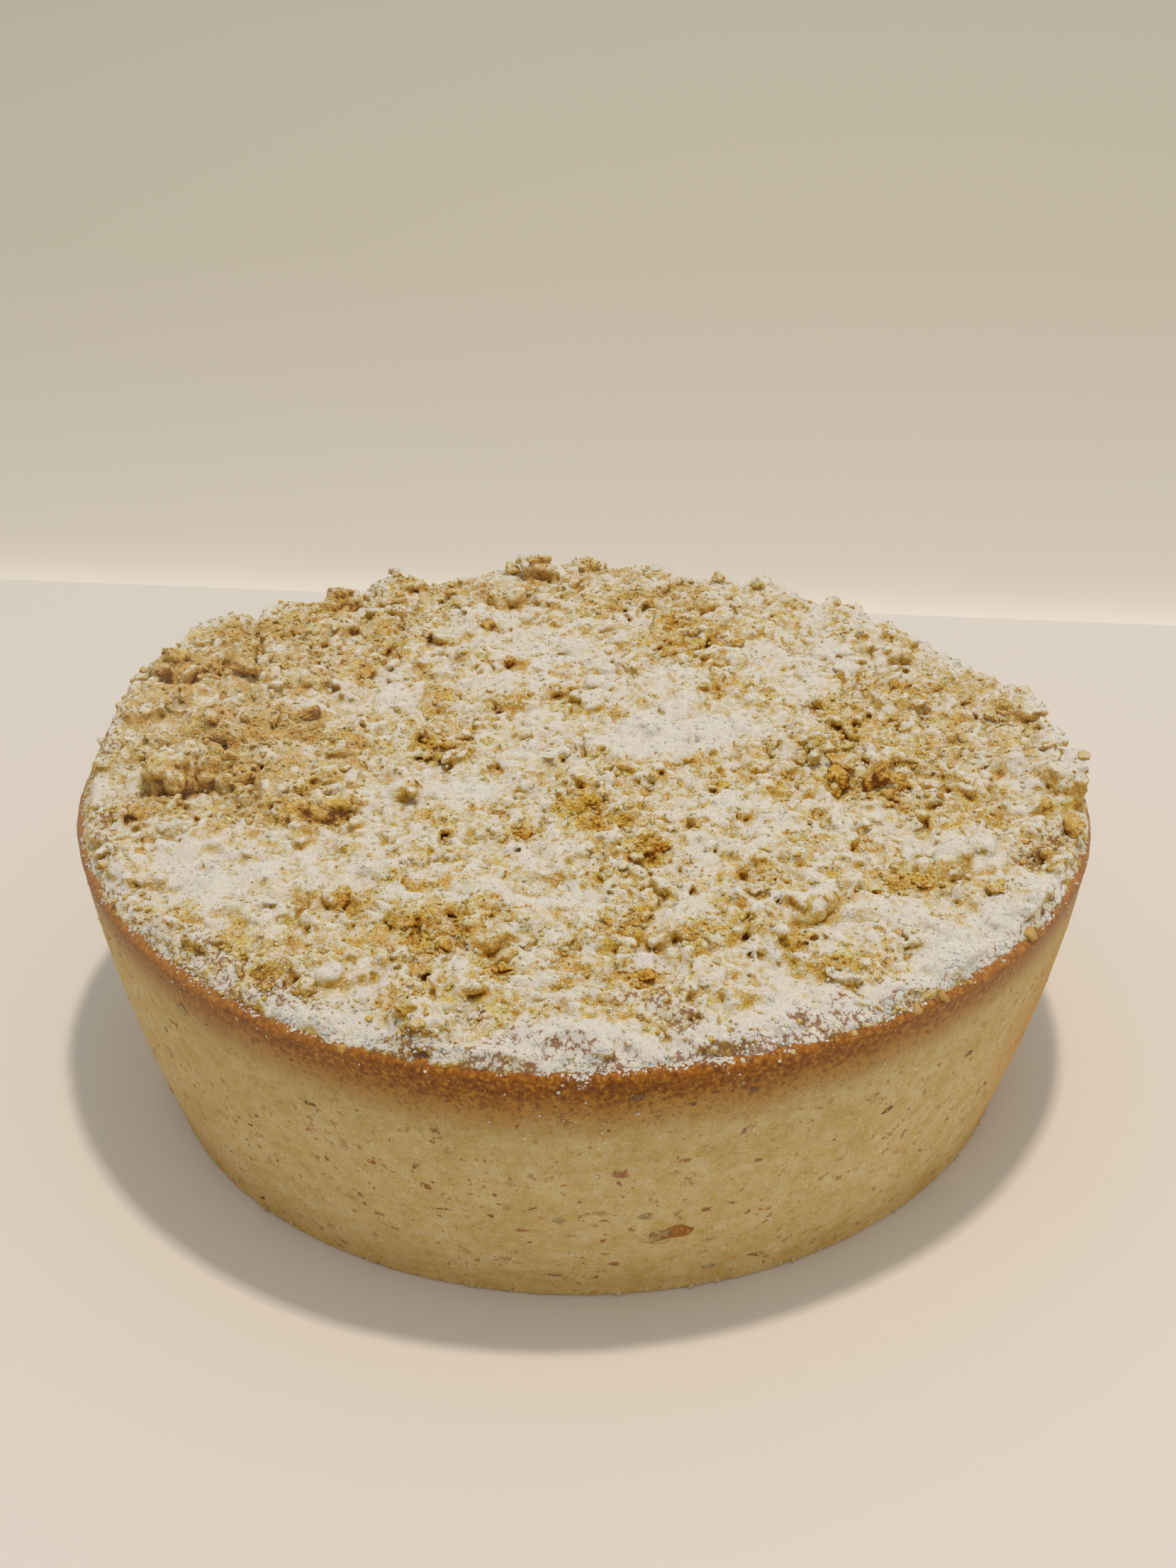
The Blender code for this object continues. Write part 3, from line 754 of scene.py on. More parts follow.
def scatter(name, rng, shapes, places, sizes, flat=1.0, values=()):
    """One mesh of many crumbs. Each value is given per crumb and becomes a point attribute."""
    spin = turns(rng, len(places))
    pick = rng.randint(0, len(shapes), len(places))
    points, tris, start, owner = [], [], 0, []
    for k, (place, size) in enumerate(zip(places, sizes)):
        co, tri = shapes[pick[k]]
        stretch = np.array([rng.uniform(0.8, 1.25), rng.uniform(0.8, 1.15), rng.uniform(0.7, 1.0)])
        p = (co * stretch) @ spin[k].T * size
        p[:, 2] *= flat
        points.append(p + place)
        tris.append(tri + start)
        owner.append(np.full(len(co), k))
        start += len(co)
    points, owner = np.concatenate(points), np.concatenate(owner)
    obj = new_object(name, points, np.concatenate(tris))
    for label, value in values:
        attribute(obj, label, np.asarray(value)[owner])
    return obj, points, owner


def crumb_looks(obj, owner, sugar, more, dark):
    """The tone of loose crumbs: whiter on the upper side where sugar lies, and browner underneath, which is painted
    shade.
    """
    up = normals_of(obj)[:, 2]
    tone = tone_of(np.asarray(more)[owner], np.asarray(dark)[owner], smoothstep(-0.2, 0.9, up), np.asarray(sugar)[owner],
                   0.35 * smoothstep(0.1, -0.7, up))
    attribute(obj, "tone", tone)


# Lumps that can be told apart: x, y, radius, sugar, shade change, height of the middle over the crumble
LUMPS = (
    (-40.4, -67.3, 2.1, 0.25, -0.22, 0.7), (63.5, -43.0, 1.7, 0.0, 0.16, 0.5), (65.0, -41.0, 1.3, 0.1, 0.12, 0.4),
    (44.0, -7.5, 2.4, 0.05, 0.02, 0.6), (41.0, -11.0, 1.8, 0.1, 0.10, 0.4), (49.3, -14.0, 3.9, 0.3, 0.02, 0.75), (39.4, -4.4, 1.9, 0.6, -0.30, 1.0), (38.2, -0.8, 1.7, 0.6, -0.30, 1.0), (42.0, -14.2, 2.4, 0.3, -0.06, 0.7),
    (84.3, -9.0, 1.5, 0.3, -0.02, 0.9), (80.5, 2.0, 1.6, 0.4, 0.05, 0.6), (-25.6, -77.2, 2.2, 0.8, -0.32, 0.5),
    (-18.0, 50.0, 2.4, 0.0, 0.50, 0.4), (57.0, 21.0, 2.2, 0.15, 0.22, 0.5), (-47.5, 9.5, 2.0, 0.15, 0.28, 0.5),
    (-39.5, 28.0, 2.2, 0.2, 0.28, 0.5), (33.0, 2.0, 2.2, 0.25, 0.05, 0.4), (12.0, -31.5, 2.3, 0.1, 0.22, 0.3),
    (-9.5, -28.0, 1.9, 0.15, 0.16, 0.3), (6.0, -62.0, 1.6, 0.2, 0.02, 0.3), (8.5, -66.0, 1.5, 0.0, 0.22, 0.3),
    (-60.0, 22.0, 2.4, 0.4, 0.08, 0.8), (79.8, -24.6, 2.5, -0.2, 0.55, 0.9), (-30.5, -56.0, 2.4, 0.1, -0.02, 0.2),
    (72.5, 12.0, 1.8, 0.35, 0.06, 0.8), (-14.0, 80.0, 2.2, 0.3, 0.12, 1.0), (28.0, 74.0, 2.0, 0.4, 0.08, 0.8),
)


def scatter_crumbs(height):
    made = []
    rng = np.random.RandomState(77)
    quick = 1.0

    def on_top(xy, lift):
        return np.column_stack([xy, surface(height, xy[:, 0], xy[:, 1]) + lift])

    # Lumps
    xy, size, sugar, dark, lift = [], [], [], [], []
    for x, y, r, s, t, h in LUMPS:
        xy.append((x, y)), size.append(r), sugar.append(s - 0.3), dark.append(t), lift.append((h - 0.45) * r * 0.7)
    while len(xy) < len(LUMPS) + 16:
        r, d = 83 * math.sqrt(rng.uniform()), rng.uniform(0, 2 * math.pi)
        x, y, radius = r * math.cos(d), r * math.sin(d), 1.0 + 1.3 * rng.uniform() ** 1.6
        if r > float(outline_radius(np.array(d))) - 0.7 * radius:
            continue
        xy.append((x, y)), size.append(radius), sugar.append(rng.uniform(0.2, 1.0))
        dark.append(rng.normal(0.0, 0.10)), lift.append(rng.uniform(-0.55, 0.05) * radius)
    xy = np.array(xy)
    more, shade = marks(xy[:, 0], xy[:, 1])
    obj, _, owner = scatter("crumble_lumps", rng, crumb_shapes(rng, 16, 4, 9, 0.24), on_top(xy, np.array(lift)), size, 0.8)
    crumb_looks(obj, owner, sugar, more, np.array(dark) + 0.6 * shade)
    made.append(obj)

    def throw(number, chance, clear=0.4):
        found = []
        while len(found) < number:
            n = 4000
            r, d = 85.4 * np.sqrt(rng.uniform(size=n)), rng.uniform(0, 2 * math.pi, n)
            x, y = r * np.cos(d), r * np.sin(d)
            keep = (rng.uniform(size=n) < chance(x, y, r, d)) & (rim_radius(d) - r > clear)
            found += list(zip(x[keep], y[keep]))
        return np.array(found[:number])

    def bare(x, y, r, d):
        more, _ = marks(x, y)
        inside = outline_radius(d) - r
        return np.where(inside > 0.8, 0.03 + 0.17 * smoothstep(0.5, 0.1, more) + 0.65 * smoothstep(0.1, -0.5, more), 0.25 * smoothstep(-2.6, -0.3, inside))

    # Crumbs, half sunk into the heap
    xy = throw(int(300 * quick), bare, 2.6)
    size = 0.75 + 1.0 * rng.uniform(size=len(xy)) ** 1.8
    more, shade = marks(xy[:, 0], xy[:, 1])
    obj, _, owner = scatter("crumble_crumbs", rng, crumb_shapes(rng, 20, 3, 9, 0.24),
                            on_top(xy, (rng.uniform(-0.75, -0.2, len(xy)) + 0.3 * smoothstep(0.1, -0.3, more)) * size), size, 0.85)
    crumb_looks(obj, owner, rng.uniform(0.1, 1.0, len(xy)), more, rng.normal(0.0, 0.10, len(xy)) + 0.6 * shade)
    made.append(obj)

    xy = throw(int(2450 * quick), bare, 1.4)
    size = 0.36 + 0.40 * rng.uniform(size=len(xy)) ** 1.6
    more, shade = marks(xy[:, 0], xy[:, 1])
    obj, _, owner = scatter("crumble_bits", rng, crumb_shapes(rng, 24, 2, 7, 0.26),
                            on_top(xy, (rng.uniform(-0.7, 0.0, len(xy)) + 0.3 * smoothstep(0.1, -0.3, more)) * size), size, 0.9)
    crumb_looks(obj, owner, rng.uniform(0.0, 1.1, len(xy)), more, rng.normal(0.0, 0.10, len(xy)) + 0.6 * shade)
    made.append(obj)

    # Grains of crumb, broken off angular
    xy = throw(int(7800 * quick), bare)
    size = 0.13 + 0.22 * rng.uniform(size=len(xy)) ** 1.6
    more, shade = marks(xy[:, 0], xy[:, 1])
    obj, _, owner = scatter("crumble_grains", rng, crumb_shapes(rng, 24, 1, 4),
                            on_top(xy, rng.uniform(-0.2, 0.6, len(xy)) * size), size)
    crumb_looks(obj, owner, rng.uniform(0.0, 1.2, len(xy)), more, rng.normal(0.0, 0.10, len(xy)) + 0.5 * shade)
    obj.data.shade_flat()
    made.append(obj)

    # Icing sugar in small lumps: on the rim, and where it lies thick
    def sugary(x, y, r, d):
        more, _ = marks(x, y)
        inside = outline_radius(d) - r
        edge = rim_radius(d) - r
        cluster = smoothstep(-0.2, 0.4, noise(x, y, 0 * x, 2.4, 50) + 0.6 * noise(x, y, 0 * x, 6.0, 51))
        on_rim = smoothstep(0.3, 1.6, edge) * cluster * (0.25 + 0.75 * rim_dust(d)) * (1 - 0.6 * swell(d, 180.0, 30.0))
        return np.where(inside < 2.0, on_rim, 0.02 + 0.12 * smoothstep(0.0, 0.5, more))

    xy = throw(int(5000 * quick), sugary)
    size = 0.10 + 0.24 * rng.uniform(size=len(xy)) ** 1.7
    obj, _, owner = scatter("icing_sugar", rng, crumb_shapes(rng, 16, 1, 3),
                            on_top(xy, rng.uniform(-0.4, 0.35, len(xy)) * size), size)
    attribute(obj, "tone", np.full(len(obj.data.vertices), -0.12))
    made.append(obj)
    for obj in made:
        set_beige(obj)
    return made


def rim_dust(angle):
    """How much sugar lies on the rim, by direction."""
    dust = 0.66 + 0.34 * swell(angle, 278.0, 30.0) - 0.28 * swell(angle, 226.0, 20.0) - 0.35 * swell(angle, 340.0, 9.0)
    dust = dust - 0.12 * swell(angle, 306.0, 16.0)
    return np.clip(dust + 0.12 * np.sin(9 * angle + 1.0) + 0.1 * np.sin(23 * angle), 0, 1)


# Bits of nut and bran that show in the wall: angle (degrees), height, half length, half width, kind
WALL_BITS = (
    (255.3, 37.6, 0.8, 0.6, "brown"), (268.3, 41.4, 0.9, 0.5, "brown"), (273.1, 41.6, 0.4, 0.3, "orange"),
    (272.2, 39.5, 0.35, 0.35, "dark"), (280.3, 43.3, 0.5, 0.4, "dark"), (286.3, 44.2, 0.8, 0.9, "dark"),
    (274.7, 45.8, 1.3, 0.6, "dark"), (279.8, 32.1, 1.3, 0.7, "red"), (273.5, 30.3, 1.3, 1.0, "red"),
    (273.3, 27.9, 0.6, 0.8, "red"), (262.4, 29.1, 0.4, 0.4, "orange"), (253.3, 24.8, 0.9, 0.6, "brown"),
    (260.5, 24.9, 0.5, 0.35, "dark"), (269.1, 24.2, 0.4, 0.3, "dark"), (264.4, 22.4, 0.8, 0.3, "brown"),
    (259.9, 19.9, 0.7, 0.4, "brown"), (263.1, 17.1, 1.2, 0.5, "red"), (267.0, 19.9, 1.3, 1.0, "grey"),
    (268.2, 16.0, 1.2, 0.4, "grey"), (271.9, 19.8, 1.0, 0.4, "brown"), (271.7, 14.8, 0.6, 0.4, "orange"),
    (276.0, 20.1, 1.3, 0.9, "grey"), (285.6, 20.3, 1.1, 0.4, "brown"), (287.6, 17.5, 0.6, 0.6, "orange"),
    (282.7, 19.9, 0.8, 0.8, "brown"), (283.6, 12.3, 1.3, 0.4, "grey"), (289.6, 5.5, 1.4, 0.6, "brown"),
    (284.2, 4.9, 1.2, 0.6, "grey"), (273.0, 8.7, 1.0, 0.6, "red"), (266.2, 5.8, 1.6, 0.5, "purple"),
    (248.2, 12.1, 0.7, 0.3, "brown"), (244.9, 18.6, 0.7, 0.6, "purple"), (245.2, 16.5, 0.7, 0.4, "brown"),
    (247.6, 27.6, 0.9, 0.5, "orange"), (252.5, 29.0, 0.6, 0.6, "brown"), (246.6, 14.9, 0.7, 0.5, "red"),
    (254.7, 19.9, 1.6, 0.25, "brown"), (254.3, 17.8, 1.0, 0.4, "brown"), (245.2, 8.7, 0.7, 0.4, "grey"),
    (263.5, 40.3, 0.5, 0.4, "orange"), (277.0, 42.1, 0.5, 0.5, "brown"), (285.8, 36.2, 0.9, 0.9, "purple"),
    (287.7, 29.3, 0.9, 0.8, "red"), (303.0, 31.0, 1.2, 0.8, "dark"), (277.6, 14.6, 2.2, 1.3, "grey"),
)
KINDS = {"red": 0.0, "orange": 0.2, "brown": 0.4, "grey": 0.6, "purple": 0.8, "dark": 1.0}


def wall_bits():
    """Low pieces set into the wall, with the large bit of nut at the front."""
    rng = np.random.RandomState(12)
    rows = [(math.radians(a), h, 1.15 * u, 1.25 * v, KINDS[k]) for a, h, u, v, k in WALL_BITS]
    while len(rows) < 420:
        size = 0.18 + 0.8 * rng.uniform() ** 3.0
        row = (rng.uniform(0, 2 * math.pi), rng.uniform(1.5, 46.0), size * rng.uniform(1.0, 1.8), size * rng.uniform(0.55, 1.0),
               float(rng.choice([0.0, 0.2, 0.4, 0.4, 0.6, 0.6, 0.8, 1.0])))
        front = (math.degrees(row[0]) - 268 + 180) % 360 - 180
        if abs(front) > 26 or size < 0.42:
            rows.append(row)
    small = crumb_shapes(rng, 16, 2, 5, 0.30)
    medium = crumb_shapes(rng, 12, 3, 5, 0.30)
    large = crumb_shapes(rng, 1, 4, 7, 0.2)
    points, tris, kinds, cores, start = [], [], [], [], 0
    for number, (angle, h, u, v, kind) in enumerate([(math.radians(279.2), 15.3, 3.3, 2.1, 0.28)] + rows):
        kit = large if number == 0 else medium if u > 0.75 else small
        co, tri = kit[rng.randint(len(kit))]
        t = h / CASE_HEIGHT
        radius = float(wall_radius(np.array(angle), t))
        out = np.array([math.cos(angle), math.sin(angle), -0.2])
        out /= np.linalg.norm(out)
        side = np.array([-math.sin(angle), math.cos(angle), 0.0])
        up = np.cross(out, side)
        tilt = math.radians(9.0) if number == 0 else rng.uniform(-0.6, 0.6)
        side, up = side * math.cos(tilt) + up * math.sin(tilt), up * math.cos(tilt) - side * math.sin(tilt)
        deep = 0.70 if number == 0 else min(0.24, 0.4 * v)
        proud = 0.42 if number == 0 else 0.62 * deep
        centre = np.array([radius * math.cos(angle), radius * math.sin(angle), h]) + out * (wall_relief(angle, radius, h) + proud - deep)
        points.append(centre + co[:, :1] * u * side + co[:, 1:2] * v * up + co[:, 2:] * deep * out)
        tris.append(tri + start)
        # The large bit is grey and grainy at its left end and orange brown at the right
        kinds.append(np.where(co[:, 0] < -0.30 + 0.25 * np.sin(5 * co[:, 1]), 0.52, 0.20) if number == 0 else np.full(len(co), kind))
        cores.append((0.45 if number == 0 or h > 43 else 1.0) * np.hypot(co[:, 0], co[:, 1]))
        start += len(co)
    obj = new_object("nut_bits", np.concatenate(points), np.concatenate(tris))
    attribute(obj, "kind", np.concatenate(kinds))
    attribute(obj, "edge", np.concatenate(cores))
    return obj


def wall_crumbs():
    """Crumbs and sugar that stick to the wall under the rim, and the crumbs along the foot."""
    rng = np.random.RandomState(31)
    places, sizes, tone = [], [], []
    for number in range(420):
        angle = rng.uniform(0, 2 * math.pi)
        if number < 250:                               # the ragged foot
            if rng.uniform() > 0.45 + 0.55 * swell(np.array(angle), 250.0, 26.0):
                continue
            h, size = rng.uniform(0.15, 1.3), rng.uniform(0.20, 0.58)
        else:                                          # fallen from above
            h, size = 50 - 12 * rng.uniform() ** 2.2, rng.uniform(0.12, 0.30)
        radius = float(wall_radius(np.array(angle), h / CASE_HEIGHT))
        inset = 0.0 if h < CASE_HEIGHT - RIM_EDGE else RIM_EDGE * (1 - math.sqrt(max(0.0, 1 - ((h - CASE_HEIGHT + RIM_EDGE) / RIM_EDGE) ** 2)))
        radius = radius - inset + wall_relief(angle, radius, h) + 0.25 * size
        places.append((radius * math.cos(angle), radius * math.sin(angle), max(h, size * 1.2)))
        sizes.append(size)
        tone.append(0.0 if number < 250 else rng.choice([0.0, 1.0]))
    # Larger crumbs on the lip: angle, height, size
    for angle, h, size, t in ((246.5, 49.2, 1.3, 0.3), (304.6, 48.9, 1.2, 0.4), (308.0, 49.3, 1.0, 0.3), (290.0, 49.0, 0.9, 0.6),
                              (323.0, 49.4, 1.3, 0.2), (234.0, 48.4, 0.9, 0.1), (231.0, 48.2, 0.6, 0.1), (297.0, 48.8, 0.8, 0.5),
                              (300.5, 48.3, 0.6, 0.5), (312.0, 49.0, 0.8, 0.4), (216.0, 49.0, 0.9, 0.2), (285.0, 49.0, 0.6, 0.8)):
        angle = math.radians(angle)
        radius = float(rim_radius(np.array(angle))) - 0.9 + wall_relief(angle, RIM_RADIUS, h)
        places.append((radius * math.cos(angle), radius * math.sin(angle), h + 0.35))
        sizes.append(0.85 * size)
        tone.append(t)
    obj, _, owner = scatter("pastry_crumbs", rng, crumb_shapes(rng, 16, 2, 6, 0.24), np.array(places), np.array(sizes))
    attribute(obj, "tone", np.array(tone)[owner])
    return obj


def wall_relief(angle, radius, h):
    """The wall's slow unevenness at one place."""
    x, y = radius * math.cos(angle), radius * math.sin(angle)
    return float(WALL_WAVE * noise(np.array([x]), np.array([y]), np.array([h]), 22.0, 30)[0]
                 + 0.06 * noise(np.array([x]), np.array([y]), np.array([h]), 5.0, 31)[0])


WALL_WAVE = 0.20

# ---------------------------------------------------------------- case
def make_case():
    around = 600
    wall_rows = 50
    angle = np.linspace(0, 2 * math.pi, around, endpoint=False)
    top = rim_height(angle, RIM_RADIUS)
    rows = []                               # (radius, height, kind) for each row

    def row(radius, height, weight_side, weight_up, rough):
        rows.append((radius, height * np.ones(around), weight_side, weight_up, rough))

    low = BOTTOM_EDGE / CASE_HEIGHT
    foot = wall_radius(angle, low)
    for r in (25.0, 50.0, 66.0):
        row(np.full(around, r), 0.0, 0, 0, 0)
    for k in range(5):
        turn = k / 4 * math.pi / 2
        row(foot - 0.7 * (1 - math.sin(turn)), 0.7 * (1 - math.cos(turn)), math.sin(turn), 0, 1)
    for k in range(1, wall_rows + 1):
        t = low + (1 - RIM_EDGE / CASE_HEIGHT - low) * k / wall_rows
        row(wall_radius(angle, t), top * t, 1, 0, 1)
    for k in range(1, 8):
        turn = k / 7 * math.pi / 2
        row(wall_radius(angle, 1.0) - RIM_EDGE * (1 - math.cos(turn)), top - RIM_EDGE * (1 - math.sin(turn)),
            math.cos(turn), math.sin(turn), 1 + turn)
    for k in range(1, 9):
        radius = wall_radius(angle, 1.0) - RIM_EDGE - (RIM_WIDTH - RIM_EDGE) * k / 8
        row(radius, rim_height(angle, radius), 0, 1, 2.5)
    inner = rim_radius(angle) - RIM_WIDTH - 0.4
    row(inner, np.full(around, 48.0), 0, 0, 0)
    row(inner - 0.4, np.full(around, CASE_HEIGHT - RECESS_DEPTH), 0, 0, 0)
    points = []
    for radius, height, side, up, rough in rows:
        x, y, z = radius * np.cos(angle), radius * np.sin(angle), height
        if rough:
            d = WALL_WAVE * noise(x, y, z, 22.0, 30) + 0.06 * noise(x, y, z, 5.0, 31) + 0.05 * noise(x, y, z, 1.7, 32)
            if rough > 1:
                w = min(rough - 1, 1.5)
                d = d + w * (0.16 * noise(x, y, z, 3.4, 33) + 0.13 * noise(x, y, z, 1.5, 34))
            # The foot is ragged where it broke from the tin
            fringe = np.exp(-(z / 0.9) ** 2)
            d = d + fringe * (0.22 * noise(x, y, z, 1.6, 35) + 0.16 * np.abs(noise(x, y, z, 0.9, 36)))
            radius = radius + side * d
            z = z + up * d
            x, y = radius * np.cos(angle), radius * np.sin(angle)
        points.append(np.column_stack([x, y, np.maximum(z, 0)]))
    points = np.concatenate(points)
    index = np.arange(around)
    nxt = (index + 1) % around
    quads = np.concatenate([np.column_stack([k * around + index, k * around + nxt, (k + 1) * around + nxt, (k + 1) * around + index])
                            for k in range(len(rows) - 1)])
    n = len(points)
    points = np.vstack([points, [[0, 0, 0], [0, 0, CASE_HEIGHT - RECESS_DEPTH]]])
    last = (len(rows) - 1) * around
    foot_fan = np.column_stack([nxt, index, np.full(around, n)])
    top_fan = np.column_stack([last + index, last + nxt, np.full(around, n + 1)])
    obj = new_object("pastry_crust", points, [quads, foot_fan, top_fan])
    angle_p, radius_p = np.arctan2(points[:, 1], points[:, 0]), np.hypot(points[:, 0], points[:, 1])
    # The browned band is deep at the front and narrow at the sides
    attribute(obj, "below_rim", (rim_height(angle_p, radius_p) - points[:, 2]) / (0.30 + 0.70 * swell(angle_p, 268.0, 56.0)))
    edge = rim_radius(angle_p) - radius_p
    ragged = 1.3 * noise(points[:, 0], points[:, 1], points[:, 2], 3.4, 60) + 0.8 * noise(points[:, 0], points[:, 1], points[:, 2], 1.4, 61)
    dust = smoothstep(0.0, 1.6, edge + ragged - 0.75 + 0.7 * (rim_dust(angle_p) - 0.6)) * (0.40 + 0.60 * rim_dust(angle_p))
    attribute(obj, "dust", np.clip(dust, 0, 1.2) * (points[:, 2] > 48.2))
    # A warmer, darker patch at the right edge, and a faint warm tint at the left side that is painted light, making up
    # for the cool light there
    attribute(obj, "baked", np.minimum(1.3 * swell(angle_p, 338.0, 13.0) * np.exp(-((points[:, 2] - 24.0) / 18.0) ** 2), 1.1)
              + 0.14 * swell(angle_p, 225.0, 24.0))
    attribute(obj, "height", points[:, 2])
    attribute(obj, "pale", 1 - swell(angle_p, 272.0, 62.0))
    print("case", triangles(obj), "triangles", round(time.time() - T0, 1), "s")
    return obj


# ---------------------------------------------------------------- materials
class Nodes:
    """Short names for building a node tree."""

    def __init__(self, name):
        self.mat = bpy.data.materials.new(name)
        self.mat.use_nodes = True
        self.tree = self.mat.node_tree
        self.bsdf = self.tree.nodes["Principled BSDF"]
        self.coord = self.tree.nodes.new("ShaderNodeTexCoord").outputs["Object"]

    def put(self, socket, value):
        if isinstance(value, bpy.types.NodeSocket):
            self.tree.links.new(value, socket)
        elif value is not None:
            socket.default_value = value

    def noise(self, size_mm, detail=2.0, rough=0.5, stretch=None, distort=0.0, offset=0.0):
        n = self.tree.nodes.new("ShaderNodeTexNoise")
        vector = self.coord
        if stretch or offset:
            m = self.tree.nodes.new("ShaderNodeMapping")
            m.inputs["Scale"].default_value = stretch or (1, 1, 1)
            m.inputs["Location"].default_value = (offset, offset * 0.7, offset * 0.3)
            self.put(m.inputs["Vector"], vector)
            vector = m.outputs[0]
        self.put(n.inputs["Vector"], vector)
        n.inputs["Scale"].default_value = 1000.0 / size_mm
        n.inputs["Detail"].default_value = detail
        n.inputs["Roughness"].default_value = rough
        n.inputs["Distortion"].default_value = distort
        return n.outputs["Fac"]

    def cells(self, size_mm, what="Distance", feature="F1", randomness=1.0, smooth=None, stretch=None, vector=None):
        n = self.tree.nodes.new("ShaderNodeTexVoronoi")
        n.feature = feature
        vector = vector or self.coord
        if stretch:
            m = self.tree.nodes.new("ShaderNodeMapping")
            m.inputs["Scale"].default_value = stretch
            self.put(m.inputs["Vector"], vector)
            vector = m.outputs[0]
        self.put(n.inputs["Vector"], vector)
        n.inputs["Scale"].default_value = 1000.0 / size_mm
        n.inputs["Randomness"].default_value = randomness
        if smooth is not None:
            n.inputs["Smoothness"].default_value = smooth
        return n.outputs[what]

    def warped(self, size_mm, amount_mm, seed=0.0):
        """Object coordinates, shifted here and there."""
        m = self.tree.nodes.new("ShaderNodeMapping")
        m.inputs["Location"].default_value = (seed, seed * 0.7, seed * 0.3)
        self.put(m.inputs["Vector"], self.coord)
        n = self.tree.nodes.new("ShaderNodeTexNoise")
        n.inputs["Scale"].default_value = 1000.0 / size_mm
        n.inputs["Detail"].default_value = 2.0
        self.put(n.inputs["Vector"], m.outputs[0])
        shift = self.tree.nodes.new("ShaderNodeVectorMath")
        shift.operation = "MULTIPLY_ADD"
        self.put(shift.inputs[0], n.outputs["Color"])
        shift.inputs[1].default_value = (amount_mm * 0.001,) * 3
        self.put(shift.inputs[2], self.coord)
        return shift.outputs[0]

    def spots(self, vector, size_mm, small, large, soft, chance):
        """Scattered soft spots: their mask and two random numbers for each. Sizes in parts of the spacing."""
        n = self.tree.nodes.new("ShaderNodeTexVoronoi")
        self.put(n.inputs["Vector"], vector)
        n.inputs["Scale"].default_value = 1000.0 / size_mm
        split = self.tree.nodes.new("ShaderNodeSeparateColor")
        self.put(split.inputs[0], n.outputs["Color"])
        radius = self.math("MULTIPLY_ADD", split.outputs[0], large - small, small)
        inside = self.ramp(self.math("SUBTRACT", radius, n.outputs["Distance"]), -soft, soft)
        there = self.math("LESS_THAN", split.outputs[1], chance)
        return self.math("MULTIPLY", inside, there), split.outputs[0], split.outputs[2]

    def attr(self, name):
        n = self.tree.nodes.new("ShaderNodeAttribute")
        n.attribute_name = name
        return n.outputs["Fac"]

    def math(self, op, a, b=None, c=None, clamp=False):
        n = self.tree.nodes.new("ShaderNodeMath")
        n.operation = op
        n.use_clamp = clamp
        for socket, value in zip(n.inputs, (a, b, c)):
            self.put(socket, value)
        return n.outputs[0]

    def ramp(self, value, low, high, to_low=0.0, to_high=1.0, smooth=True):
        n = self.tree.nodes.new("ShaderNodeMapRange")
        n.interpolation_type = "SMOOTHSTEP" if smooth else "LINEAR"
        for socket, v in zip(n.inputs, (value, low, high, to_low, to_high)):
            self.put(socket, v)
        return n.outputs[0]

    def mix(self, fac, a, b, blend="MIX"):
        n = self.tree.nodes.new("ShaderNodeMix")
        n.data_type = "RGBA"
        n.blend_type = blend
        self.put(n.inputs[0], fac)
        for socket, v in ((n.inputs[6], a), (n.inputs[7], b)):
            self.put(socket, (*v, 1.0) if isinstance(v, tuple) else v)
        return n.outputs[2]

    def blend_colours(self, value, stops):
        n = self.tree.nodes.new("ShaderNodeValToRGB")
        n.color_ramp.interpolation = "LINEAR"
        while len(n.color_ramp.elements) < len(stops):
            n.color_ramp.elements.new(0.5)
        for element, (at, colour) in zip(n.color_ramp.elements, stops):
            element.position = at
            element.color = (*colour, 1.0)
        self.put(n.inputs[0], value)
        return n.outputs["Color"]

    def bump(self, height, distance_mm, strength=1.0, normal=None):
        n = self.tree.nodes.new("ShaderNodeBump")
        n.inputs["Strength"].default_value = strength
        n.inputs["Distance"].default_value = distance_mm * 0.001
        self.put(n.inputs["Height"], height)
        if normal is not None:
            self.put(n.inputs["Normal"], normal)
        return n.outputs[0]

    def finish(self, colour, roughness, normal, specular=0.3):
        self.put(self.bsdf.inputs["Base Color"], colour)
        self.put(self.bsdf.inputs["Roughness"], roughness)
        self.put(self.bsdf.inputs["Normal"], normal)
        self.bsdf.inputs["Specular IOR Level"].default_value = specular
        return self.mat


SUGAR = (0.740, 0.695, 0.606)
TONES = (
    (0.0, SUGAR), (0.12, (0.722, 0.655, 0.515)), (0.26, (0.698, 0.582, 0.345)), (0.42, (0.682, 0.490, 0.170)),
    (0.60, (0.660, 0.412, 0.080)), (0.78, (0.595, 0.318, 0.033)), (0.90, (0.43, 0.185, 0.016)), (1.0, (0.23, 0.075, 0.009)))


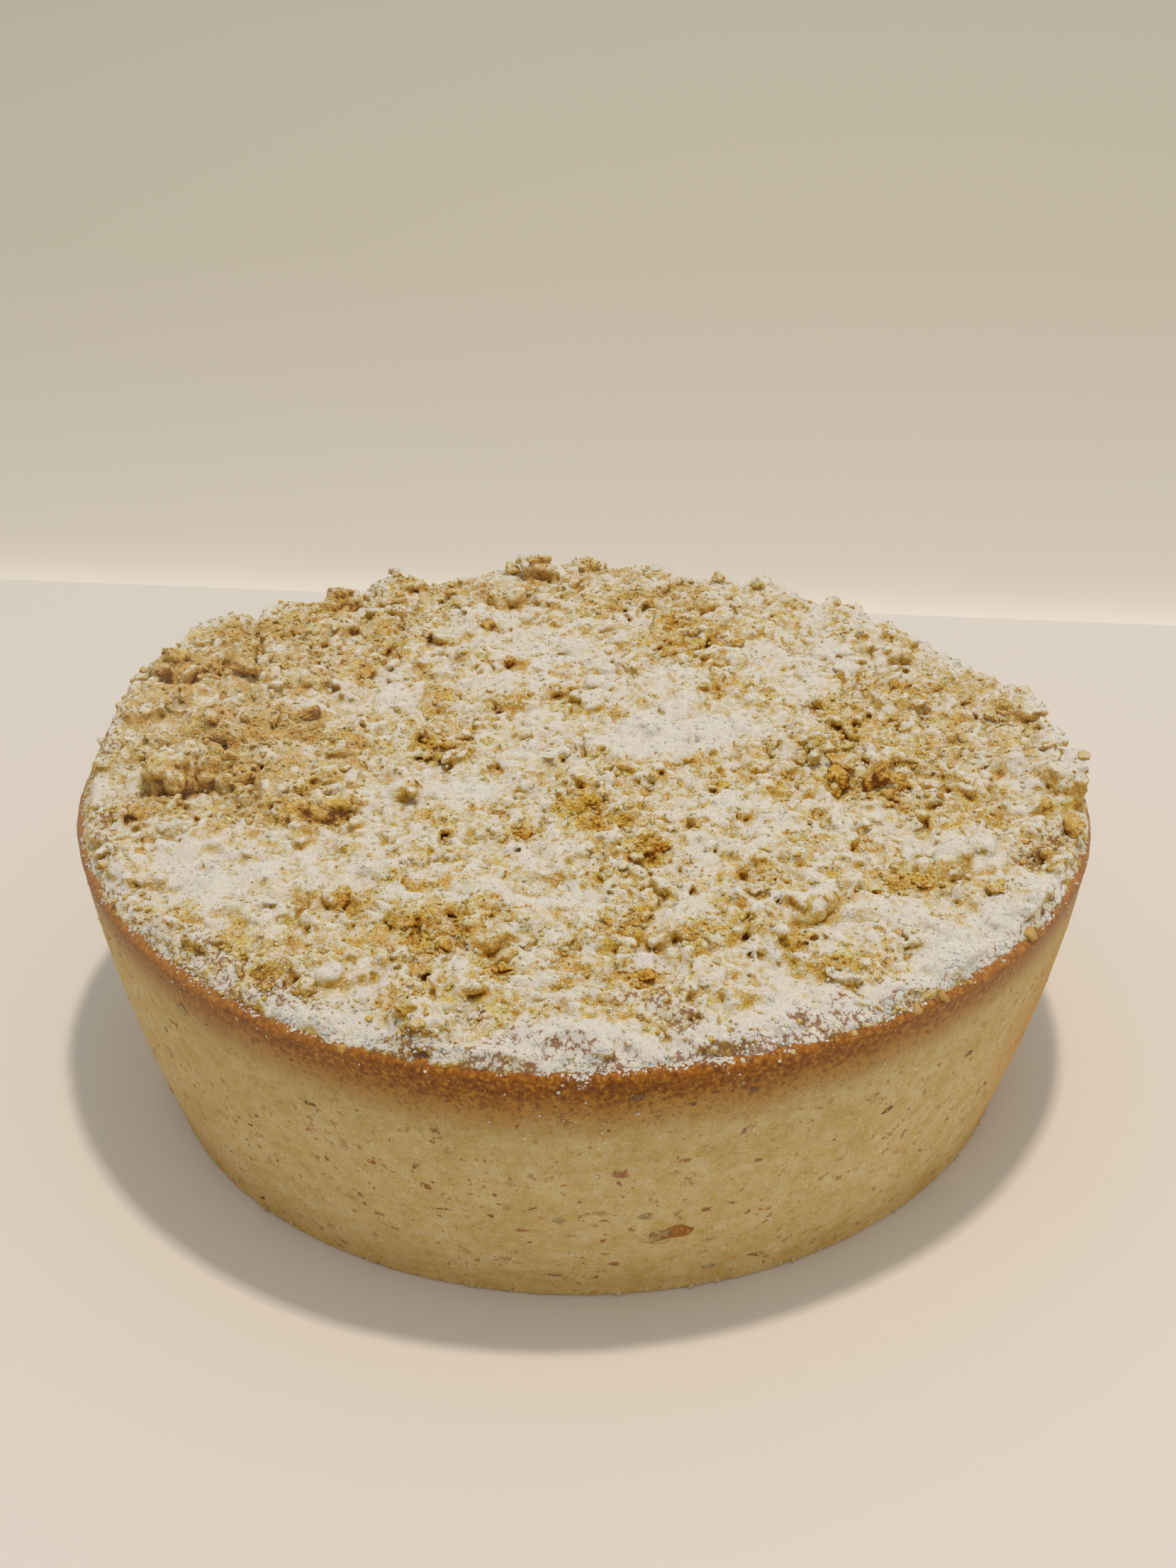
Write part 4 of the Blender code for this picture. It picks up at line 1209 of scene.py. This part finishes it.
def crumble_material():
    n = Nodes("crumble")
    tone, lace = n.attr("tone"), n.attr("lace")
    half = lambda value: n.math("SUBTRACT", value, 0.5)
    part = lambda value, weight: n.math("MULTIPLY", value, weight)
    patch = half(n.noise(4.2, 3.0, 0.6, offset=9.0))
    mid = half(n.noise(1.3, 3.0, 0.6, offset=3.0))
    fine = half(n.noise(0.30, 2.0, 0.6))
    dust = half(n.noise(0.20, 1.0, 0.5, offset=41.0))
    # Granules: 0 in their middle, 1 in the seams between them
    bent = n.warped(0.9, 0.9, 5.0)
    seam = n.math("ADD", part(n.ramp(n.cells(1.05, vector=bent), 0.22, 0.85), 0.6), part(n.ramp(n.cells(0.50, vector=bent), 0.22, 0.85), 0.4))
    t = n.math("ADD", tone, part(patch, 1.02))
    t = n.math("ADD", t, part(mid, 0.68))
    bare = n.ramp(t, 0.10, 0.40)                   # 0 under powder, 1 where crumb shows
    height = n.math("MULTIPLY", seam, n.math("MULTIPLY_ADD", bare, -0.45, -0.65))
    height = n.math("ADD", height, n.math("MULTIPLY", fine, n.math("MULTIPLY_ADD", bare, 0.40, 0.30)))
    bump = n.bump(height, 0.26, 0.9)
    split = n.tree.nodes.new("ShaderNodeSeparateXYZ")
    n.put(split.inputs[0], bump)
    up = n.ramp(split.outputs["Z"], 0.35, 0.98, -0.5, 0.5, smooth=False)
    v = n.math("ADD", t, n.math("MULTIPLY", fine, n.math("MULTIPLY_ADD", bare, 0.12, 0.08)))
    # Seams between granules are drawn browner: partly crumb that the powder misses, partly painted shade.
    v = n.math("ADD", v, n.math("MULTIPLY", n.math("SUBTRACT", seam, 0.45), n.math("MULTIPLY_ADD", bare, 0.20, 0.20)))
    v = n.math("SUBTRACT", v, n.math("MULTIPLY", up, n.math("MULTIPLY_ADD", bare, 0.10, 0.14)))
    grain = half(n.cells(0.62, "Color", vector=n.warped(0.7, 0.5, 5.0)))
    v = n.math("ADD", v, n.math("MULTIPLY", grain, part(bare, 0.06)))
    colour = n.blend_colours(v, TONES)
    # Colour drawn lighter and darker grain by grain: partly grain, partly painted fine shadow and highlight.
    colour = n.mix(n.math("MULTIPLY_ADD", bare, 0.60, 0.40), colour, n.ramp(n.math("ADD", fine, dust), -0.26, 0.26, 0.62, 1.30, smooth=False), "MULTIPLY")
    # Some crumb is yellower, some more amber
    hue = n.noise(3.4, 2.0, 0.5, offset=21.0)
    colour = n.mix(n.math("MULTIPLY", n.ramp(hue, 0.52, 0.66), bare), colour, (1.0, 0.90, 0.72), "MULTIPLY")
    colour = n.mix(n.math("MULTIPLY", n.ramp(hue, 0.46, 0.34), bare), colour, (1.02, 1.03, 0.74), "MULTIPLY")
    colour = n.mix(n.math("MULTIPLY", n.attr("beige"), n.math("MULTIPLY_ADD", bare, 0.28, 0.06)), colour, (0.66, 0.50, 0.29))
    # Painted glints: single crystals drawn pale, as if catching the light
    glint = n.ramp(n.cells(0.42, "Color"), 0.86, 0.92)
    painted_glint = n.math("MULTIPLY", n.math("MULTIPLY", glint, n.ramp(n.cells(0.42), 0.42, 0.22)), bare)
    colour = n.mix(n.math("MULTIPLY", painted_glint, 0.45), colour, (0.90, 0.80, 0.55))
    # Crust between clots of powder at the rim
    clots = n.math("ADD", n.math("MULTIPLY_ADD", lace, 0.45, -0.62), n.math("ADD", n.math("ADD", part(mid, 0.8), part(fine, 1.0)), part(seam, 0.75)))
    crust = n.math("MULTIPLY", n.ramp(clots, -0.05, 0.20), n.ramp(lace, 0.0, 0.15))
    colour = n.mix(n.math("MULTIPLY", crust, 0.88), colour, (0.30, 0.145, 0.066))
    rough = n.ramp(bare, 0.2, 1.0, 0.95, 0.38, smooth=False)
    # Light goes a little way into crumb and powder
    n.bsdf.inputs["Subsurface Weight"].default_value = 0.45
    n.bsdf.inputs["Subsurface Radius"].default_value = (1.0, 0.62, 0.32)
    n.bsdf.inputs["Subsurface Scale"].default_value = 0.0011
    return n.finish(colour, rough, bump, 0.12)


def pastry_material():
    n = Nodes("pastry")
    depth, dust, foot = n.attr("below_rim"), n.attr("dust"), n.attr("height")
    wander = n.noise(9.0, 3.0, 0.6, offset=1.0)
    mid = n.noise(2.0, 3.0, 0.6, offset=2.0)
    fine = n.noise(0.42, 3.0, 0.7, offset=5.0)
    soft = n.noise(7.0, 2.0, 0.5, offset=17.0)
    streak = n.noise(3.4, 2.0, 0.55, stretch=(0.5, 0.5, 2.6), offset=4.0)
    tint = n.math("ADD", n.math("MULTIPLY", soft, 0.46), n.math("MULTIPLY", streak, 0.12))
    tint = n.math("ADD", tint, n.math("MULTIPLY", mid, 0.42))
    tan = n.blend_colours(tint, ((0.40, (0.575, 0.395, 0.133)), (0.50, (0.642, 0.462, 0.192)), (0.60, (0.690, 0.530, 0.262))))
    tan = n.mix(n.ramp(fine, 0.50, 0.72, 0.0, 0.75), tan, (0.74, 0.60, 0.33))
    tan = n.mix(n.ramp(fine, 0.48, 0.28, 0.0, 0.60), tan, (0.45, 0.30, 0.115))
    warm = n.noise(1.3, 3.0, 0.65, offset=53.0)
    tan = n.mix(n.ramp(warm, 0.50, 0.66), tan, (1.0, 0.95, 0.80), "MULTIPLY")
    tan = n.mix(n.ramp(warm, 0.49, 0.34), tan, (0.99, 1.01, 1.16), "MULTIPLY")
    # Painted shade under the rim: the wall is drawn darker there, fading out lower down. Warmer and darker at the foot:
    # partly a browner baked edge, partly painted reflection and contact shade.
    tan = n.mix(n.ramp(depth, 10.0, 24.0, 0.55, 0.0, smooth=False), tan, (0.86, 0.84, 0.80), "MULTIPLY")
    tan = n.mix(n.ramp(foot, 1.0, 11.0, 1.0, 0.0, smooth=False), tan, (0.94, 0.84, 0.66), "MULTIPLY")
    # Warmer and darker at the right edge; the faint tint at the left side is painted light, a warmer colour for the
    # cool-lit side.
    tan = n.mix(n.math("MULTIPLY", n.attr("baked"), n.ramp(n.math("ADD", soft, n.math("MULTIPLY", mid, 0.6)), 0.62, 0.95, 0.35, 1.0)),
                tan, (0.93, 0.70, 0.42), "MULTIPLY")
    # Stains where bits of nut lie just under the surface
    mask, one, two = n.spots(n.warped(1.6, 3.2), 4.2, 0.06, 0.26, 0.10, 0.50)
    tan = n.mix(n.math("MULTIPLY", mask, 0.68), tan, n.blend_colours(two, (
        (0.0, (0.45, 0.31, 0.11)), (0.35, (0.43, 0.28, 0.10)), (0.6, (0.47, 0.25, 0.11)), (1.0, (0.56, 0.29, 0.06)))))
    # Ragged flecks of bran
    ragged = n.math("ADD", n.noise(2.0, 4.0, 0.72, offset=31.0), n.math("MULTIPLY", n.math("SUBTRACT", soft, 0.5), 0.30))
    kinds = n.blend_colours(n.noise(2.6, 1.0, 0.5, offset=47.0), (
        (0.36, (0.30, 0.135, 0.045)), (0.46, (0.42, 0.185, 0.035)), (0.54, (0.36, 0.20, 0.075)), (0.62, (0.44, 0.24, 0.06))))
    tan = n.mix(n.ramp(ragged, 0.605, 0.665, 0.0, 0.75), tan, kinds)
    # Bran, pores and pale crystals
    mask, one, two = n.spots(n.warped(0.8, 1.5, 2.0), 2.0, 0.05, 0.24, 0.035, 0.5)
    tan = n.mix(n.math("MULTIPLY", mask, n.ramp(soft, 0.40, 0.60, 0.45, 0.95)), tan, n.blend_colours(two, (
        (0.0, (0.36, 0.19, 0.055)), (0.4, (0.47, 0.235, 0.05)), (0.7, (0.40, 0.17, 0.04)), (1.0, (0.24, 0.125, 0.05)))))
    # Dark dots for pores: painted shade in tiny pits.
    mask, one, two = n.spots(n.warped(0.5, 0.7, 4.0), 1.2, 0.05, 0.19, 0.05, 0.30)
    tan = n.mix(n.math("MULTIPLY", mask, n.ramp(two, 0.0, 1.0, 0.25, 0.75)), tan, (0.34, 0.19, 0.075))
    mask, one, two = n.spots(n.warped(0.5, 0.5, 6.0), 1.05, 0.05, 0.19, 0.04, 0.42)
    tan = n.mix(n.math("MULTIPLY", mask, n.ramp(mid, 0.42, 0.58, 0.15, 0.85)), tan, (0.83, 0.77, 0.60))
    # Browned band under the rim, grainy where it fades
    edge = n.math("ADD", depth, n.math("MULTIPLY", n.math("SUBTRACT", wander, 0.5), 5.0))
    edge = n.math("ADD", edge, n.math("MULTIPLY", n.math("SUBTRACT", mid, 0.5), 4.0))
    edge = n.math("ADD", edge, n.math("MULTIPLY", n.math("SUBTRACT", fine, 0.5), 4.0))
    baked = n.blend_colours(n.ramp(edge, 0.0, 15.0, smooth=False), (
        (0.0, (0.37, 0.125, 0.010)), (0.08, (0.31, 0.098, 0.007)), (0.20, (0.285, 0.088, 0.008)), (0.30, (0.33, 0.130, 0.020)),
        (0.42, (0.41, 0.205, 0.043)), (0.56, (0.47, 0.272, 0.076)), (0.72, (0.505, 0.325, 0.108)), (0.88, (0.545, 0.385, 0.145)),
        (1.0, (0.575, 0.415, 0.165))))
    flecks = n.noise(0.8, 3.0, 0.65, offset=11.0)
    strong = n.ramp(depth, 3.0, 11.0, 1.0, 0.25, smooth=False)
    baked = n.mix(n.math("MULTIPLY", n.ramp(flecks, 0.52, 0.64, 0.0, 0.70), strong), baked, (0.60, 0.28, 0.035))
    baked = n.mix(n.math("MULTIPLY", n.ramp(flecks, 0.47, 0.37, 0.0, 0.85), strong), baked, (0.15, 0.045, 0.010))
    baked = n.mix(n.math("MULTIPLY", n.ramp(fine, 0.46, 0.26, 0.0, 0.55), strong), baked, (0.13, 0.042, 0.010))
    baked = n.mix(n.math("MULTIPLY", n.ramp(fine, 0.58, 0.74, 0.0, 0.40), strong), baked, (0.58, 0.32, 0.07))
    baked = n.mix(n.math("MULTIPLY", n.attr("pale"), 0.6), baked, (0.50, 0.285, 0.125))
    cover = n.ramp(edge, 8.0, 15.0, 1.0, 0.0)
    colour = n.mix(cover, tan, baked)
    # Sugar on top of the rim, thin over the dark crust
    clots = n.math("SUBTRACT", 1.0, n.ramp(n.cells(0.55, vector=n.warped(0.9, 0.8, 3.0)), 0.22, 0.85))
    amount = n.math("ADD", dust, n.math("MULTIPLY", n.math("SUBTRACT", fine, 0.5), 1.4))
    amount = n.math("ADD", amount, n.math("MULTIPLY", n.math("SUBTRACT", clots, 0.5), 1.0))
    amount = n.math("ADD", amount, n.math("MULTIPLY", n.math("SUBTRACT", mid, 0.5), 0.8))
    mask = n.math("MULTIPLY", n.ramp(amount, 0.42, 0.66), n.ramp(dust, 0.02, 0.12))
    under = n.mix(n.ramp(dust, 0.1, 0.6), colour, (0.265, 0.105, 0.032))
    colour = n.mix(n.math("MULTIPLY", mask, 0.95), under, SUGAR)
    relief = n.math("ADD", n.math("MULTIPLY", fine, 0.5), n.math("MULTIPLY", mid, 0.6))
    relief = n.math("ADD", relief, n.math("MULTIPLY", n.math("MULTIPLY", clots, dust), 1.4))
    bump = n.bump(relief, 0.24, 0.75)
    rough = n.ramp(n.math("MULTIPLY", cover, n.math("SUBTRACT", 1.0, mask)), 0.0, 1.0, 0.8, 0.5, smooth=False)
    return n.finish(colour, rough, bump, 0.15)


def bits_material():
    n = Nodes("nut_bits")
    kind, edge = n.attr("kind"), n.attr("edge")
    fine = n.noise(0.4, 2.0, offset=3.0)
    colour = n.blend_colours(kind, (
        (0.0, (0.40, 0.165, 0.065)), (0.2, (0.37, 0.135, 0.016)), (0.4, (0.33, 0.150, 0.040)), (0.6, (0.43, 0.295, 0.125)),
        (0.8, (0.31, 0.160, 0.080)), (1.0, (0.19, 0.085, 0.030))))
    grain = n.noise(0.7, 2.0, offset=13.0)
    colour = n.mix(n.ramp(fine, 0.50, 0.70, 0.0, 0.4), colour, (0.50, 0.34, 0.12))
    colour = n.mix(n.ramp(grain, 0.46, 0.30, 0.0, 0.6), colour, (0.20, 0.09, 0.03))
    wild = n.math("ADD", n.math("MULTIPLY", n.math("SUBTRACT", fine, 0.5), 2.0), n.math("MULTIPLY", n.math("SUBTRACT", grain, 0.5), 2.0))
    blend = n.ramp(n.math("ADD", edge, wild), 0.52, 0.94)
    colour = n.mix(blend, colour, (0.60, 0.445, 0.185))
    return n.finish(colour, 0.6, n.bump(fine, 0.10, 0.6), 0.2)


def wall_crumb_material():
    n = Nodes("pastry_crumbs")
    tone = n.attr("tone")
    fine = n.noise(0.35, 2.0, offset=6.0)
    colour = n.blend_colours(n.math("ADD", tone, n.math("MULTIPLY", n.math("SUBTRACT", fine, 0.5), 0.3)), (
        (0.0, (0.60, 0.45, 0.20)), (0.3, (0.56, 0.33, 0.085)), (0.6, (0.68, 0.53, 0.28)), (1.0, (0.80, 0.72, 0.58))))
    return n.finish(colour, 0.7, n.bump(fine, 0.12, 0.7), 0.15)


def plain_material(name, low, high):
    n = Nodes(name)
    tone = n.noise(350.0, 2.0)
    colour = n.blend_colours(tone, ((0.3, low), (0.7, high)))
    return n.finish(colour, 0.65, None, 0.15)


# ---------------------------------------------------------------- build
def place(obj, material, slot, replaced=None):
    obj.data.materials.append(material)
    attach(obj, "root")
    if replaced:
        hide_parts(replaced)


crumble, HEIGHT = make_crumble()
granular = crumble_material()
place(crumble, granular, "crumble", "crumble_topping")
for piece in scatter_crumbs(HEIGHT):
    place(piece, granular, "crumble")
    print(piece.name, triangles(piece), round(time.time() - T0, 1), "s")
place(make_case(), pastry_material(), "pastry", "pastry_case")
place(wall_bits(), bits_material(), "pastry")
place(wall_crumbs(), wall_crumb_material(), "pastry")
print("pieces", round(time.time() - T0, 1), "s")

# ---------------------------------------------------------------- floor, light, camera
def flat_piece(name, corners):
    mesh = bpy.data.meshes.new(name)
    mesh.from_pydata(corners, [], [tuple(range(len(corners)))])
    obj = bpy.data.objects.new(name, mesh)
    bpy.context.scene.collection.objects.link(obj)
    return obj


# The backdrop rises gently behind a line that comes nearer at the right, low enough to see the tart over it from behind
def behind(x):
    return 0.1863 - 0.120 * x


floor = flat_piece("floor", [(-3, -2.2, 0), (3, -2.2, 0), (3, behind(3), 0), (-3, behind(-3), 0)])
floor.data.materials.append(plain_material("floor", (0.79, 0.74, 0.665), (0.80, 0.75, 0.675)))
profile = [(s, s * math.tan(math.radians(12.0))) for s in (0.0, 0.1, 0.3, 0.62)]
mesh = bpy.data.meshes.new("backdrop")
mesh.from_pydata([(x, behind(x) + out, z) for x in (-3.0, 3.0) for out, z in profile], [],
                 [(k, k + len(profile), k + 1 + len(profile), k + 1) for k in range(len(profile) - 1)])
mesh.shade_smooth()
backdrop = bpy.data.objects.new("backdrop", mesh)
bpy.context.scene.collection.objects.link(backdrop)


def backdrop_material():
    """Painted light: lighter towards the floor, standing in for light bounced up from it."""
    n = Nodes("backdrop")
    split = n.tree.nodes.new("ShaderNodeSeparateXYZ")
    n.put(split.inputs[0], n.coord)
    up = n.math("MULTIPLY", split.outputs["Z"], 10.0)
    stops = ((0.0, 1.225), (0.023, 1.06), (0.044, 0.99), (0.087, 0.955), (0.163, 0.91), (0.25, 0.876), (0.4, 0.85), (0.8, 0.872))
    tones = [(at, (0.728 * k, 0.674 * k, (0.585 - 0.125 * min(at, 0.35)) * k)) for at, k in stops]
    return n.finish(n.blend_colours(up, tones), 0.8, None, 0.1)


backdrop.data.materials.append(backdrop_material())

world = bpy.data.worlds.new("studio")
bpy.context.scene.world = world
world.use_nodes = True
world.node_tree.nodes["Background"].inputs["Color"].default_value = (1.04, 1.055, 1.05, 1.0)
world.node_tree.nodes["Background"].inputs["Strength"].default_value = 0.49


def area_light(name, place, target, size, power, colour):
    data = bpy.data.lights.new(name, "AREA")
    data.shape = "RECTANGLE"
    data.size, data.size_y = size
    data.energy = power
    data.color = colour
    obj = bpy.data.objects.new(name, data)
    bpy.context.scene.collection.objects.link(obj)
    back = np.array(place, float) - np.array(target, float)
    back /= np.linalg.norm(back)
    right = np.cross((0, 0.01, 1.0), back)
    right /= np.linalg.norm(right)
    up = np.cross(back, right)
    m = Matrix.Identity(4)
    for row in range(3):
        m[row][0], m[row][1], m[row][2], m[row][3] = right[row], up[row], back[row], place[row]
    obj.matrix_world = m
    return obj


area_light("overhead", (0.086, -0.067, 1.09), (0, 0, 0.0), (0.06, 0.06), 4.95, (1.0, 0.882, 0.791))

area_light("right_fill", (0.72, -0.60, 0.15), (0, 0, 0.03), (0.5, 0.25), 0.55, (0.95, 0.98, 1.05))

# Camera: fitted to the rim, the foot and the sides of the wall; focal length 3000 px in a frame of 1659 x 2212
UNIT = RIM_RADIUS * 0.001
DISTANCE, RISE, PITCH, YAW, ROLL = 3.7609 * UNIT, 2.6444 * UNIT, 0.5050, 0.0029, -0.0083
cam_data = bpy.data.cameras.new("camera")
cam_data.sensor_fit = "AUTO"
cam_data.sensor_width = 36.0
cam_data.lens = 3000.0 / 2212.0 * 36.0
cam_data.clip_start, cam_data.clip_end = 0.01, 20.0
camera = bpy.data.objects.new("camera", cam_data)
bpy.context.scene.collection.objects.link(camera)
cp, sp, cy, sy = math.cos(PITCH), math.sin(PITCH), math.cos(YAW), math.sin(YAW)
fwd = np.array([sy * cp, cy * cp, -sp])
right = np.array([cy, -sy, 0.0])
up = np.cross(right, fwd)
right, up = math.cos(ROLL) * right + math.sin(ROLL) * up, -math.sin(ROLL) * right + math.cos(ROLL) * up
pose = Matrix.Identity(4)
for r in range(3):
    pose[r][0], pose[r][1], pose[r][2] = right[r], up[r], -fwd[r]
pose[0][3], pose[1][3], pose[2][3] = 0.0, -DISTANCE, RISE
camera.matrix_world = pose
bpy.context.scene.camera = camera
bpy.context.scene.view_settings.view_transform = "Standard"

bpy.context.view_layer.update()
print("script", round(time.time() - T0, 1), "s")
